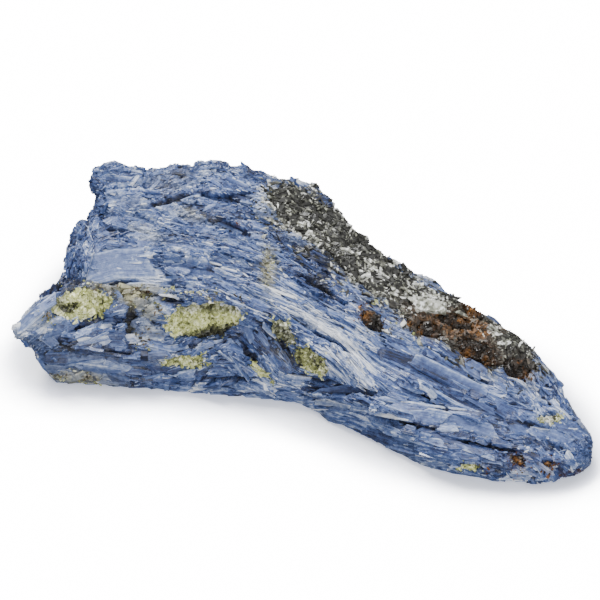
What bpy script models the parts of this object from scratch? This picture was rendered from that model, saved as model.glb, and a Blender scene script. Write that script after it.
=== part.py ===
"""Kyanite with garnet: a broken hand specimen of blue bladed kyanite that rests on a cleavage face.

Pale green mica crusts line hollows in its front, a dark schist remnant lies along its back ridge, and
rusty garnets sit in both. Lengths are millimetres until a mesh is made, X runs along the specimen,
Y to its back and Z up. Surface features are placed as seen, by (right, up) in the plane square to a
line of sight 40 degrees above the front: right is X, and up is Y sin 40 + Z cos 40.
"""

import math
import random

import bmesh
import bpy
import numpy as np
from mathutils import Matrix, Vector, noise
from mathutils.bvhtree import BVHTree

MM = 0.001

# Views that features are placed from: degrees round from the front, and degrees above the ground.
VIEWS = {"front": (0.0, 40.0), "back": (180.0, 12.0), "back right": (128.0, 14.0), "left": (-95.0, 14.0)}

SOCKET_GAP = 0.3
BELOW_REST = -1.0
STATION_STEP = 3.4
ROUGHNESS = 0.55
ROUGH_SCALE = 5.0
CROWN = 0.8
FRONT_BULGE = 0.7
STEEPEST = 1.3
FLAT_WITHIN = 8.0

# The body's cross sections: x, front foot y, front crest y and z, ridge y and z, depth behind the ridge.
BODY = (
    (-41.9, -4.5, 4.5, 14.0, 16.5, 20.0, 7.0),
    (-40.0, -4.8, 4.0, 16.0, 17.8, 21.0, 8.0),
    (-37.6, -5.0, 3.6, 17.5, 19.5, 22.8, 8.5),
    (-37.0, -5.0, 3.6, 17.5, 23.0, 24.8, 7.0),
    (-33.5, -5.4, 3.6, 17.5, 26.4, 27.0, 6.0),
    (-29.5, -5.7, 3.0, 18.0, 25.4, 26.5, 6.5),
    (-25.8, -6.0, 1.9, 18.0, 26.2, 26.8, 6.5),
    (-20.4, -6.4, -0.4, 18.0, 25.6, 27.2, 7.0),
    (-16.2, -7.4, -1.5, 18.0, 25.8, 27.6, 7.0),
    (-11.3, -8.0, -2.6, 17.5, 25.0, 27.2, 7.0),
    (-5.8, -8.4, -4.9, 16.5, 23.4, 26.8, 7.0),
    (-0.4, -9.1, -7.9, 15.0, 22.6, 26.0, 7.0),
    (4.0, -12.6, -10.9, 13.5, 20.6, 25.0, 7.0),
    (7.8, -16.5, -13.6, 12.0, 14.0, 23.4, 8.0),
    (11.5, -18.6, -16.4, 10.5, 8.8, 21.8, 10.0),
    (16.0, -22.0, -20.0, 8.5, 7.0, 20.8, 9.5),
    (21.5, -26.0, -26.0, 6.5, 3.0, 19.3, 9.0),
    (26.9, -28.6, -29.4, 6.0, -0.4, 17.8, 8.5),
    (32.4, -29.4, -30.6, 5.5, -3.0, 16.3, 7.5),
    (37.9, -30.4, -31.8, 5.5, -6.6, 14.8, 6.5),
    (41.5, -31.0, -32.3, 5.0, -9.4, 13.4, 6.5),
    (44.2, -30.4, -31.7, 5.0, -13.2, 11.5, 7.0),
    (47.0, -29.8, -31.6, 5.5, -19.4, 9.9, 7.0),
    (49.7, -27.6, -30.2, 5.5, -24.2, 8.4, 5.0),
    (52.0, -25.4, -27.6, 4.6, -27.2, 6.4, 2.0),
)

# The knob at the front left: x, then (y, z) of its under side, belly, top edge, back edge and back foot.
KNOB = (
    (-52.4, (-2.9, 11.4), (-3.1, 12.0), (-2.6, 12.6), (-1.6, 12.4), (-1.6, 11.6)),
    (-51.3, (-3.0, 9.6), (-4.2, 11.5), (-2.2, 14.0), (0.5, 13.0), (0.5, 10.0)),
    (-49.5, (-2.6, 7.5), (-4.6, 11.0), (-1.3, 15.5), (2.5, 13.5), (2.0, 8.5)),
    (-47.1, (-1.2, 4.5), (-4.2, 10.0), (1.0, 16.5), (5.5, 13.5), (4.5, 6.0)),
    (-46.3, (-1.4, -1.0), (-4.0, 9.0), (2.0, 17.0), (7.0, 13.0), (7.0, -1.0)),
    (-44.5, (-4.0, -1.0), (-3.6, 8.0), (3.0, 17.0), (9.0, 12.0), (10.0, -1.0)),
    (-41.3, (-4.7, -1.0), (-3.8, 8.0), (3.2, 17.0), (11.0, 12.0), (13.0, -1.0)),
    (-36.8, (-5.0, -1.0), (-4.2, 8.0), (3.0, 17.0), (14.0, 12.0), (14.0, -1.0)),
    (-30.4, (-5.7, -1.0), (-4.6, 8.0), (2.0, 16.5), (14.0, 12.0), (14.0, -1.0)),
    (-24.0, (-5.0, -1.0), (-3.5, 8.0), (2.5, 15.0), (12.0, 12.0), (12.0, -1.0)),
)

# Lumps of the outline: right, up, length, width, slope down to the right and thickness.
LUMPS = (
    (-34.8, 35.5, 8.6, 8.0, 62, 8.4),
    (1.6, 32.6, 6.0, 4.0, 52, 5.0),
    (41.6, 2.2, 5.0, 3.0, 56, 4.0),
)

# How the blades run: right, up, and the slope down to the right in degrees.
GRAIN = (
    (-35, 33, 5), (-26, 37, -14), (-27, 28, 4), (-11, 37, 14), (0, 32, 20), (-33, 19, 3),
    (-20, 23, 9), (-7, 23, 20), (4, 23, 27), (-11, 15, 20), (2, 10, 27), (16, 4, 27),
    (9, 0, 50), (24, -1, 28), (36, -6, 24), (25, -9, 8), (14, -12, 17), (3, -5, 6),
    (36, -14, 12), (48, -13, 25), (-10, -4, 6), (-30, -2, 3), (-44, -1, 6), (-50, 7, -30),
    (-38, 7, -14), (-39, 2, 14), (-19, 3, -16), (-7, 1, 48), (-41, 22, -75), (27, 13, 32),
    (40, 4, 42), (45, -6, 55),
)

# The larger blades: right, up, length, width, slope down to the right, and how far each stands proud.
BLADES = (
    (-33.5, 19.5, 14.0, 7.5, 2, 0.7), (-26.0, 35.8, 12.0, 3.6, -14, 0.7), (-11.5, 36.2, 15.0, 4.0, 13, 0.8),
    (-2.0, 32.0, 14.0, 3.8, 20, 0.6), (-31.5, 35.6, 8.0, 4.0, 8, 0.8), (-27.5, 29.0, 16.0, 4.4, 4, 0.6),
    (-14.0, 30.0, 16.0, 4.4, 12, 0.7), (-18.5, 25.0, 18.0, 4.0, 8, 0.6), (-7.5, 26.0, 16.0, 4.4, 20, 0.6),
    (-22.0, 20.5, 13.0, 4.0, 6, 0.7), (-12.0, 20.5, 16.0, 3.4, 18, 0.6), (-0.5, 21.0, 15.0, 3.8, 26, 0.6),
    (-9.5, 15.2, 22.0, 3.2, 24, 0.8), (1.5, 11.8, 27.0, 2.8, 27, 0.9), (5.0, 8.0, 27.0, 2.4, 27, 0.8),
    (9.0, 5.0, 24.0, 2.2, 28, 0.8), (13.5, 8.5, 24.0, 3.0, 27, 0.6), (8.0, 1.0, 8.0, 1.5, 50, 0.9),
    (11.0, 0.5, 8.0, 1.5, 48, 0.8), (24.0, 3.0, 20.0, 4.2, 27, 0.7), (28.0, -2.4, 22.0, 4.6, 27, 0.9),
    (22.5, -4.2, 10.0, 2.6, 34, 1.0), (25.0, -7.7, 27.0, 4.0, 7, 0.9), (36.0, -7.0, 18.0, 4.2, 24, 0.8),
    (30.5, -12.0, 24.0, 3.8, 13, 0.9), (17.0, -11.0, 20.0, 3.6, 16, 0.8), (42.0, -12.2, 17.0, 4.4, 14, 0.7),
    (46.5, -9.0, 12.0, 4.2, 35, 0.6), (39.0, -15.6, 16.0, 2.6, 3, 0.5), (-19.5, -0.6, 20.0, 2.8, 0, 1.0),
    (-35.0, -1.3, 18.0, 2.8, 3, 0.8), (-6.0, -2.8, 20.0, 2.8, 7, 1.0), (-19.5, 4.2, 14.0, 2.0, -17, 1.0),
    (-8.4, -0.9, 11.0, 2.0, 40, 0.7), (-11.5, 3.2, 9.0, 2.2, 24, 0.8), (-36.5, 7.0, 18.0, 2.6, -14, 0.9),
    (-46.0, 8.0, 9.0, 2.8, -30, 0.6), (-36.5, 3.6, 17.0, 2.6, 8, 0.9), (-38.6, 23.0, 11.0, 3.6, -72, 0.5),
    (7.0, -4.2, 15.0, 2.8, 4, 0.9), (-39.5, 15.4, 11.0, 2.0, 0, 0.7), (-45.0, 12.8, 9.0, 1.6, -38, 0.6),
    (-3.0, 10.0, 9.0, 2.0, 44, 0.9), (38.0, -2.4, 14.0, 4.0, 38, 0.6), (16.0, -6.6, 14.0, 3.0, 22, 0.8),
)

# Lesser blades, drawn by chance on each side: the view, how many, the spans of right and up, the slope
# (None where it follows GRAIN) and a scale for their length.
LESSER = (
    ("front", 9, (-42.0, 47.0), (-15.0, 36.0), None, 1.0),
    ("back", 19, (-22.0, 42.0), (-6.0, 18.0), -3.0, 1.4),
    ("back right", 18, (-40.0, 30.0), (-5.0, 15.0), -5.0, 1.4),
    ("left", 15, (-28.0, 6.0), (-1.0, 22.0), 8.0, 0.9),
)
LESSER_LENGTH = (6.0, 14.0)
LESSER_WIDTH = (2.0, 4.0)
LESSER_RISE = (0.4, 0.9)
MOST_ROLL = 14.0
BLADE_DEPTH = 1.6
SEED = 7

# Clefts between blades: right, up, length, slope, width and depth.
CLEFTS = (
    (-30.9, 8.2, 8.5, 88, 1.0, 2.2), (-22.9, 13.2, 4.6, 14, 2.0, 2.0), (-4.6, 5.6, 6.5, 52, 1.2, 2.2),
    (-9.0, 2.2, 6.5, 50, 1.0, 1.6), (-12.0, 25.6, 7.5, 26, 0.9, 1.6), (8.0, -3.6, 14.0, 2, 1.1, 1.6),
    (30.0, -9.6, 16.0, 24, 0.8, 1.4), (-36.0, 16.2, 12.0, 0, 0.9, 1.6), (41.5, -9.8, 7.0, 22, 0.8, 1.4),
    (20.5, -9.8, 14.0, 9, 0.7, 1.2), (-24.0, 30.8, 9.0, -16, 0.8, 1.3), (2.4, 15.4, 9.0, 30, 0.8, 1.2),
)

# Mica crusts in hollows: name, right, up, length, width, slope, depth of the hollow, and the crust's
# own depth under the rock around it.
MICA = (
    ("mica_crust_knob", -40.0, 12.0, 11.6, 5.4, -9, 2.6, 0.35),
    ("mica_crust_centre", -18.0, 9.0, 15.0, 7.0, -5, 3.6, 1.3),
    ("mica_crust_upper", -3.6, 6.9, 5.8, 3.6, 36, 2.2, 0.5),
    ("mica_crust_right", 1.6, 1.8, 7.6, 6.0, 28, 3.0, 0.6),
    ("mica_crust_low", -21.0, 1.6, 8.4, 2.4, -5, 1.8, 0.3),
    ("mica_crust_sliver", -7.4, -0.2, 6.4, 1.7, 36, 1.6, 0.3),
    ("mica_crust_tip", 44.3, -8.4, 4.8, 2.0, -12, 1.4, 0.2),
    ("mica_crust_toe", 30.0, -17.0, 5.0, 1.8, 3, 1.4, 0.1),
)

HOLLOW_MOUTH = 3.0

# A pit in the knob's crust: right, up, length, width, slope and depth.
CRUST_PIT = (-41.0, 12.0, 2.6, 2.0, -20, 1.3)

# The schist remnant along the ridge: its outline as seen, its depth, and the knobs on it, each with
# right, up, length, width, slope and how far it stands proud.
SCHIST_OUTLINE = (
    (-2.2, 33.4), (1.7, 31.4), (4.2, 29.4), (9.5, 29.6), (12.4, 23.6), (16.0, 19.2), (19.2, 16.8),
    (22.0, 15.0), (25.8, 13.4), (29.4, 12.0), (33.2, 9.6), (37.4, 6.8), (40.6, 4.6), (42.0, 0.6),
    (39.8, -1.4), (36.4, 1.2), (32.8, 1.2), (29.2, 2.4), (26.4, 4.8), (23.4, 5.4), (20.6, 6.6),
    (19.0, 9.6), (15.6, 13.0), (13.4, 13.0), (11.0, 15.6), (8.2, 17.8), (5.2, 21.2), (2.6, 22.6),
    (-0.4, 24.2), (-3.2, 26.4), (-5.6, 30.0), (-5.0, 32.6),
)
SCHIST_DEPTH = 2.6
SCHIST_KNOBS = (
    (-2.2, 29.6, 5.0, 3.4, 30, 0.7), (2.0, 27.4, 5.4, 4.0, 40, 0.8), (6.0, 24.6, 5.0, 4.2, 44, 0.8),
    (9.0, 20.4, 5.4, 4.0, 36, 0.8), (12.6, 18.8, 5.0, 3.4, 40, 0.7), (16.4, 15.8, 6.0, 3.6, 34, 0.8),
    (23.0, 11.7, 6.6, 3.3, 8, 0.9), (35.4, 6.6, 5.4, 3.2, 34, 0.7), (37.6, 4.0, 4.6, 2.6, 40, 0.6),
)

# Garnets: name, right, up, length, width, slope, and how far each stands proud.
GARNETS = (
    ("garnet_upper", 12.7, 9.3, 5.2, 2.8, 50, 0.8),
    ("garnet_middle", 22.8, 7.3, 4.6, 3.4, 30, 0.9),
    ("garnet_core", 27.6, 8.9, 6.0, 2.5, 20, 0.8),
    ("garnet_rim", 31.0, 10.6, 4.4, 1.9, 32, 0.6),
    ("garnet_lower", 31.4, 3.8, 7.8, 3.3, 28, 0.9),
    ("garnet_end", 38.9, 0.9, 4.8, 3.8, 36, 1.0),
    ("garnet_toe_a", 38.6, -16.2, 2.6, 2.0, 10, 0.5),
    ("garnet_toe_b", 44.0, -16.6, 2.0, 1.5, 20, 0.4),
)

COLOURS = {
    "kyanite": ((0.20, 0.30, 0.50), 0.42, 0.0),
    "mica": ((0.62, 0.63, 0.40), 0.60, 0.0),
    "schist": ((0.12, 0.12, 0.11), 0.65, 0.0),
    "garnet": ((0.11, 0.045, 0.02), 0.50, 0.0),
}


def view_axes(view):
    """The view's axes: to the right, up, and towards the eye."""
    around, above = (math.radians(angle) for angle in VIEWS[view])
    side = Vector((math.cos(around), math.sin(around), 0.0))
    eye = Vector((math.sin(around) * math.cos(above), -math.cos(around) * math.cos(above), math.sin(above)))
    return side, eye.cross(side), eye


def clear_scene():
    for obj in list(bpy.data.objects):
        bpy.data.objects.remove(obj)


def material(name):
    """A Principled finish with the mineral's colour, roughness and metallic value."""
    colour, roughness, metallic = COLOURS[name]
    made = bpy.data.materials.new(name)
    made.use_nodes = True
    shader = made.node_tree.nodes["Principled BSDF"]
    shader.inputs["Base Color"].default_value = (*colour, 1.0)
    shader.inputs["Roughness"].default_value = roughness
    shader.inputs["Metallic"].default_value = metallic
    return made


def new_object(name, mesh, collection):
    obj = bpy.data.objects.new(name, mesh)
    collection.objects.link(obj)
    return obj


def to_mesh(bm, name):
    """Turns a bmesh made in millimetres into a triangulated mesh in metres."""
    bmesh.ops.triangulate(bm, faces=bm.faces)
    bmesh.ops.scale(bm, vec=(MM, MM, MM), verts=bm.verts)
    mesh = bpy.data.meshes.new(name)
    bm.to_mesh(mesh)
    bm.free()
    return mesh


def boolean(target, other, operation):
    """Cuts or joins with an exact Boolean, keeps the result as the target's mesh and drops the other."""
    modifier = target.modifiers.new(operation.title(), "BOOLEAN")
    modifier.operation = operation
    modifier.object = other
    modifier.solver = "EXACT"
    bpy.context.view_layer.update()
    graph = bpy.context.evaluated_depsgraph_get()
    result = bpy.data.meshes.new_from_object(target.evaluated_get(graph))
    target.modifiers.clear()
    target.data = result
    bpy.data.objects.remove(other)


def rough(point, seed):
    """A fractal offset along each axis, which breaks up the smooth loft."""
    place = point / ROUGH_SCALE + Vector((seed, seed, seed))
    coarse = noise.noise_vector(place)
    fine = noise.noise_vector(place * 2.7)
    return (coarse + fine * 0.45) * ROUGHNESS


def smooth_rows(rows, xs):
    """Each column of the rows, read at xs. Straight between rows, so that breaks in the rock stay sharp."""
    table = np.array(rows, float)
    return np.column_stack([np.interp(xs, table[:, 0], column) for column in table[:, 1:].T])


def stations(rows):
    """X positions about a station step apart that keep the rows' own ends."""
    first, last = rows[0][0], rows[-1][0]
    return np.linspace(first, last, max(3, round((last - first) / STATION_STEP)))


def spread_between(corners, counts):
    """Points along a closed outline of (y, z) corners, with counts[i] steps on side i."""
    ring = []
    for i, steps in enumerate(counts):
        start, end = np.array(corners[i]), np.array(corners[(i + 1) % len(corners)])
        ring += [start + (end - start) * k / steps for k in range(steps)]
    return ring


def loft(xs, rings, name, seed):
    """Skins rings of (y, z) points at the given x stations, closes both ends and roughens the sides."""
    bm = bmesh.new()
    rows = []
    for x, ring in zip(xs, rings):
        row = []
        for y, z in ring:
            point = Vector((x, y, z))
            if z > BELOW_REST + 0.01:
                point += rough(point, seed)
            row.append(bm.verts.new(point))
        rows.append(row)
    count = len(rows[0])
    for near, far in zip(rows, rows[1:]):
        for k in range(count):
            bm.faces.new((near[k], near[(k + 1) % count], far[(k + 1) % count], far[k]))
    for row in (rows[0], rows[-1]):
        middle = bm.verts.new(sum((v.co for v in row), Vector()) / count)
        for k in range(count):
            bm.faces.new((row[k], row[(k + 1) % count], middle))
    bmesh.ops.recalc_face_normals(bm, faces=bm.faces)
    return to_mesh(bm, name)


def body_ring(foot_y, crest_y, crest_z, ridge_y, ridge_z, behind):
    """One cross section of the body, from its front foot over the crest and the ridge to the back."""
    front = (foot_y * 0.55 + crest_y * 0.45 - FRONT_BULGE, crest_z * 0.45)
    top = ((crest_y + ridge_y) / 2, (crest_z + ridge_z) / 2 + CROWN)
    shoulder = (ridge_y + behind * 0.75, ridge_z * 0.58)
    corners = [
        (foot_y, BELOW_REST), front, (crest_y, crest_z), top,
        (ridge_y, ridge_z), shoulder, (ridge_y + behind, BELOW_REST),
    ]
    return spread_between(corners, (2, 2, 3, 3, 2, 2, 2))


def make_body(collection):
    xs = stations(BODY)
    rings = [body_ring(*row) for row in smooth_rows(BODY, xs)]
    return new_object("kyanite", loft(xs, rings, "kyanite", 3.1), collection)


def make_knob(collection):
    flat = [(row[0], *[number for corner in row[1:] for number in corner]) for row in KNOB]
    xs = stations(KNOB)
    rings = [
        spread_between([tuple(pair) for pair in row.reshape(-1, 2)], (2, 2, 2, 2, 2))
        for row in smooth_rows(flat, xs)
    ]
    return new_object("knob", loft(xs, rings, "knob", 8.4), collection)


class Surface:
    """The rock's skin, for placing things on it by where they are seen."""

    def __init__(self, mesh, view="front"):
        bm = bmesh.new()
        bm.from_mesh(mesh)
        bmesh.ops.scale(bm, vec=(1 / MM, 1 / MM, 1 / MM), verts=bm.verts)
        self.tree = BVHTree.FromBMesh(bm)
        self.side, self.over, self.eye = view_axes(view)
        bm.free()

    def depth(self, right, up):
        """How near the eye the rock is at (right, up), or None where the look passes it by."""
        start = self.side * right + self.over * up + self.eye * 200.0
        place, _, _, _ = self.tree.ray_cast(start, -self.eye)
        return None if place is None else place.dot(self.eye)

    def frame(self, right, up, slope, length, width, strict=False):
        """Where a patch lies and its axes: along its length, across it and out of the rock.

        A plane is fitted to nine looks at the patch. One that leans away too far is kept from it, or is
        refused if strict.
        """
        along = (math.cos(slope), -math.sin(slope))
        across = (math.sin(slope), math.cos(slope))
        looks = []
        for s in (-0.35 * length, 0.0, 0.35 * length):
            for t in (-0.35 * width, 0.0, 0.35 * width):
                place = (right + along[0] * s + across[0] * t, up + along[1] * s + across[1] * t)
                found = self.depth(*place)
                if found is not None:
                    looks.append((1.0, s, t, found))
        if len(looks) < 4:
            return None
        table = np.array(looks)
        level, lean_along, lean_across = np.linalg.lstsq(table[:, :3], table[:, 3], rcond=None)[0]
        if strict and (len(looks) < 8 or max(abs(lean_along), abs(lean_across)) > STEEPEST):
            return None
        lean_along, lean_across = np.clip((lean_along, lean_across), -STEEPEST, STEEPEST)
        middle = self.side * right + self.over * up + self.eye * level
        run = self.side * along[0] + self.over * along[1] + self.eye * lean_along
        rise = self.side * across[0] + self.over * across[1] + self.eye * lean_across
        run.normalize()
        out = run.cross(rise).normalized()
        return middle, run, out.cross(run), out


def placed(bm, middle, along, across, out):
    """Turns and moves a bmesh from its own axes onto the rock."""
    turn = Matrix((along, across, out)).transposed().to_4x4()
    bmesh.ops.transform(bm, matrix=Matrix.Translation(middle) @ turn, verts=bm.verts)


def blade_mesh(length, width, depth, random_draw):
    """A lath with bevelled long edges and ends broken off askew."""
    bm = bmesh.new()
    bmesh.ops.create_cube(bm, size=1.0)
    for vert in bm.verts:
        on_top = vert.co.z > 0
        vert.co.x *= length * (0.92 if on_top else 1.06)
        vert.co.y *= width * (0.62 if on_top else 1.12)
        vert.co.z *= depth
    for end in (-1, 1):
        skew = random_draw.uniform(-0.9, 0.9) * width
        narrow = random_draw.uniform(0.35, 0.85)
        for vert in bm.verts:
            if vert.co.x * end > 0:
                vert.co.y *= narrow
                vert.co.x += skew * vert.co.y / width
    return bm


def add_blade(rock, surface, draw, right, up, length, width, slope, rise, strict=False):
    """Sets one blade into the rock's skin so that it stands proud by rise, and joins it on."""
    found = surface.frame(right, up, math.radians(slope), length, width, strict)
    if found is None:
        return
    middle, along, across, out = found
    roll = Matrix.Rotation(math.radians(draw.uniform(-MOST_ROLL, MOST_ROLL)), 3, along)
    across, out = roll @ across, roll @ out
    bm = blade_mesh(length, width, BLADE_DEPTH + rise, draw)
    placed(bm, middle + out * (rise - (BLADE_DEPTH + rise) / 2), along, across, out)
    blade = new_object("blade", to_mesh(bm, "blade"), rock.users_collection[0])
    boolean(rock, blade, "UNION")


def add_lumps(rock):
    surface = Surface(rock.data)
    for number, (right, up, length, width, slope, thickness) in enumerate(LUMPS):
        middle, *axes = surface.frame(right, up, math.radians(slope), length, width)
        bm = lump(2, (length / 2, width / 2, thickness / 2), 0.0, 70.0 + number)
        placed(bm, middle - axes[2] * thickness * 0.35, *axes)
        boolean(rock, new_object("lump", to_mesh(bm, "lump"), rock.users_collection[0]), "UNION")


def grain_slope(right, up):
    """The slope of the blades at a place, as a mean of the notes in GRAIN that counts near ones most."""
    total = weight_sum = 0.0
    for x, y, slope in GRAIN:
        weight = 1.0 / ((x - right) ** 2 + (y - up) ** 2 + 4.0) ** 2
        total += slope * weight
        weight_sum += weight
    return total / weight_sum


def add_blades(rock):
    """The larger blades by hand, then lesser ones by chance on every side."""
    draw = random.Random(SEED)
    core = rock.data.copy()
    front = Surface(core)
    for blade in BLADES:
        add_blade(rock, front, draw, *blade)
    for view, count, across, up_span, fixed_slope, stretch in LESSER:
        surface = Surface(core, view)
        for _ in range(count):
            right, up = draw.uniform(*across), draw.uniform(*up_span)
            length, width, rise = (draw.uniform(*span) for span in (LESSER_LENGTH, LESSER_WIDTH, LESSER_RISE))
            slope = grain_slope(right, up) if fixed_slope is None else fixed_slope
            slope += draw.uniform(-6, 6)
            add_blade(rock, surface, draw, right, up, length * stretch, width, slope, rise, strict=True)


def merge_flat_faces(obj):
    """Joins faces that lie almost in one plane, which drops the needless edges that Booleans leave."""
    bm = bmesh.new()
    bm.from_mesh(obj.data)
    bmesh.ops.dissolve_limit(bm, angle_limit=math.radians(FLAT_WITHIN), verts=bm.verts, edges=bm.edges)
    bmesh.ops.triangulate(bm, faces=bm.faces)
    bm.to_mesh(obj.data)
    bm.free()


def cut_clefts(rock):
    """Opens the narrow wedge-shaped clefts between blades."""
    surface = Surface(rock.data)
    for right, up, length, slope, width, depth in CLEFTS:
        found = surface.frame(right, up, math.radians(slope), length, 2 * width)
        if found is None:
            continue
        bm = bmesh.new()
        bmesh.ops.create_cube(bm, size=1.0)
        for vert in bm.verts:
            vert.co.x *= length * (1.0 if vert.co.z > 0 else 0.6)
            vert.co.y *= width * (1.5 if vert.co.z > 0 else 0.25)
            vert.co.z *= depth * 2
        placed(bm, *found)
        cutter = new_object("cleft", to_mesh(bm, "cleft"), rock.users_collection[0])
        boolean(rock, cutter, "DIFFERENCE")


def flatten_base(rock):
    """Cuts the rock off level at z = 0, which leaves the cleavage face that it rests on."""
    bm = bmesh.new()
    bmesh.ops.create_cube(bm, size=1.0)
    bmesh.ops.scale(bm, vec=(200.0, 200.0, 10.0), verts=bm.verts)
    bmesh.ops.translate(bm, vec=(0.0, 0.0, -5.0), verts=bm.verts)
    cutter = new_object("ground", to_mesh(bm, "ground"), rock.users_collection[0])
    boolean(rock, cutter, "DIFFERENCE")


def lump(fineness, half, grow, seed, top=None, bumpy=0.0):
    """A rough ellipsoid. Its upper half can be drawn out or pressed down to a height of top, with bumps."""
    bm = bmesh.new()
    bmesh.ops.create_icosphere(bm, subdivisions=fineness, radius=1.0)
    for vert in bm.verts:
        unit = vert.co.copy()
        bump = 1.0 + 0.24 * noise.noise(unit * 1.9 + Vector((seed, 0, seed)))
        vert.co = Vector(unit[axis] * half[axis] * bump for axis in range(3)) + unit * grow
        if top is not None and unit.z > 0:
            bumps = noise.noise(Vector((vert.co.x * 0.9 + seed, vert.co.y * 0.9, seed)))
            vert.co.z = unit.z * top + min(unit.z * 3, 1.0) * bumpy * bumps
    return bm


def garnet_lump(half, grow, seed):
    """A worn garnet: a ball pressed to the twelve faces of a rhombic dodecahedron, then roughened."""
    normals = [
        Vector(n).normalized()
        for n in ((0, 1, 1), (0, 1, -1), (1, 0, 1), (1, 0, -1), (1, 1, 0), (1, -1, 0))
    ]
    bm = bmesh.new()
    bmesh.ops.create_icosphere(bm, subdivisions=3 if half[0] > 2.9 else 2, radius=1.0)
    for vert in bm.verts:
        unit = vert.co.normalized()
        reach = 0.94 / max(abs(unit.dot(normal)) for normal in normals)
        reach = min(reach, 1.16) * (1.0 + 0.10 * noise.noise(unit * 2.3 + Vector((seed, seed, 0))))
        vert.co = Vector(unit[axis] * half[axis] * reach for axis in range(3)) + unit * grow
    return bm


def set_in(rock, bm_maker, place, sink, hosts):
    """Places one inclusion and opens its socket in each host."""
    middle, along, across, out = place
    seat = middle + out * sink
    socket_bm = bm_maker(SOCKET_GAP)
    placed(socket_bm, seat, along, across, out)
    socket_mesh = to_mesh(socket_bm, "socket")
    for host in hosts:
        cutter = new_object("socket", socket_mesh.copy(), rock.users_collection[0])
        boolean(host, cutter, "DIFFERENCE")
    body_bm = bm_maker(0.0)
    placed(body_bm, seat, along, across, out)
    return body_bm


def seen_prism(outline, grow, name, collection):
    """A prism along the line of sight over an outline, grown by moving each corner out."""
    side, over, eye = view_axes("front")
    corners = np.array(outline)
    before, after = np.roll(corners, 1, axis=0), np.roll(corners, -1, axis=0)
    run = after - before
    run /= np.linalg.norm(run, axis=1)[:, None]
    corners = corners + grow * np.column_stack((-run[:, 1], run[:, 0]))
    bm = bmesh.new()
    rings = []
    for reach in (-60.0, 60.0):
        rings.append([bm.verts.new(side * right + over * up + eye * reach) for right, up in corners])
    count = len(corners)
    for k in range(count):
        bm.faces.new((rings[0][k], rings[0][(k + 1) % count], rings[1][(k + 1) % count], rings[1][k]))
    bm.faces.new(rings[0])
    bm.faces.new(rings[1])
    bmesh.ops.recalc_face_normals(bm, faces=bm.faces)
    return new_object(name, to_mesh(bm, name), collection)


def sunk_copy(core, depth, drawn_in, collection):
    """The core moved away along the line of sight by depth, and drawn in from the ridge as it is seen."""
    side, over, eye = view_axes("front")
    mesh = core.copy()
    mesh.transform(Matrix.Translation(((side * 0.55 + over * 0.83) * -drawn_in - eye * depth) * MM))
    return new_object("sunk", mesh, collection)


def add_schist(rock, core, collection):
    """The dark remnant of host rock: the ridge's skin within an outline, with knobs on it.

    Its floor follows the smooth core, which has no ledges, so that the gap under it stays even.
    """
    schist = new_object("schist", rock.data.copy(), collection)
    boolean(schist, seen_prism(SCHIST_OUTLINE, 0.0, "outline", collection), "INTERSECT")
    boolean(schist, sunk_copy(core, SCHIST_DEPTH, 0.0, collection), "DIFFERENCE")
    pocket = seen_prism(SCHIST_OUTLINE, SOCKET_GAP, "pocket", collection)
    boolean(pocket, sunk_copy(core, SCHIST_DEPTH + SOCKET_GAP, SOCKET_GAP, collection), "DIFFERENCE")
    boolean(rock, pocket, "DIFFERENCE")
    largest_body(schist)
    surface = Surface(schist.data)
    for number, (right, up, length, width, slope, proud) in enumerate(SCHIST_KNOBS):
        middle, *axes = surface.frame(right, up, math.radians(slope), length, width)
        seat = middle + axes[2] * (proud - SCHIST_DEPTH * 0.5)
        for host, grow, operation in ((schist, 0.0, "UNION"), (rock, SOCKET_GAP, "DIFFERENCE")):
            bm = lump(2, (length / 2, width / 2, SCHIST_DEPTH * 0.5), grow, 60.0 + number)
            placed(bm, seat, *axes)
            boolean(host, new_object("knob", to_mesh(bm, "knob"), collection), operation)
    return schist


def add_mica(rock, collection):
    """The pale green crusts, each in its own hollow."""
    made = []
    for number, (name, right, up, length, width, slope, depth, below) in enumerate(MICA):
        place = Surface(rock.data).frame(right, up, math.radians(slope), length, width)
        middle, *axes = place
        seat = middle - axes[2] * below
        half = (length / 2, width / 2, depth - below)
        fineness = 3 if length > 10 else 2
        hollow = lump(fineness, half, SOCKET_GAP, 20.0 + number, top=below + HOLLOW_MOUTH)
        placed(hollow, seat, *axes)
        cutter = new_object("hollow", to_mesh(hollow, "hollow"), rock.users_collection[0])
        boolean(rock, cutter, "DIFFERENCE")
        crust = lump(fineness, half, 0.0, 20.0 + number, top=0.25, bumpy=0.5)
        placed(crust, seat, *axes)
        made.append(new_object(name, to_mesh(crust, name), collection))
    right, up, length, width, slope, depth = CRUST_PIT
    middle, *axes = Surface(made[0].data).frame(right, up, math.radians(slope), length, width)
    pit = lump(2, (length / 2, width / 2, depth), 0.0, 30.0)
    placed(pit, middle, *axes)
    boolean(made[0], new_object("pit", to_mesh(pit, "pit"), collection), "DIFFERENCE")
    return made


def add_garnets(rock, schist, collection):
    """The rusty garnets, let into the kyanite and the schist."""
    made = []
    for number, (name, right, up, length, width, slope, proud) in enumerate(GARNETS):
        tree_rock, tree_schist = Surface(rock.data), Surface(schist.data)
        surface = max((tree_rock, tree_schist), key=lambda s: s.depth(right, up) or -99.0)
        place = surface.frame(right, up, math.radians(slope), length, width)
        half = (length / 2, width / 2, min(length, width) / 2)

        def maker(grow, half=half, number=number):
            return garnet_lump(half, grow, 40.0 + number)

        bm = set_in(rock, maker, place, proud - half[2], (rock, schist))
        made.append(new_object(name, to_mesh(bm, name), collection))
    return made


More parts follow.
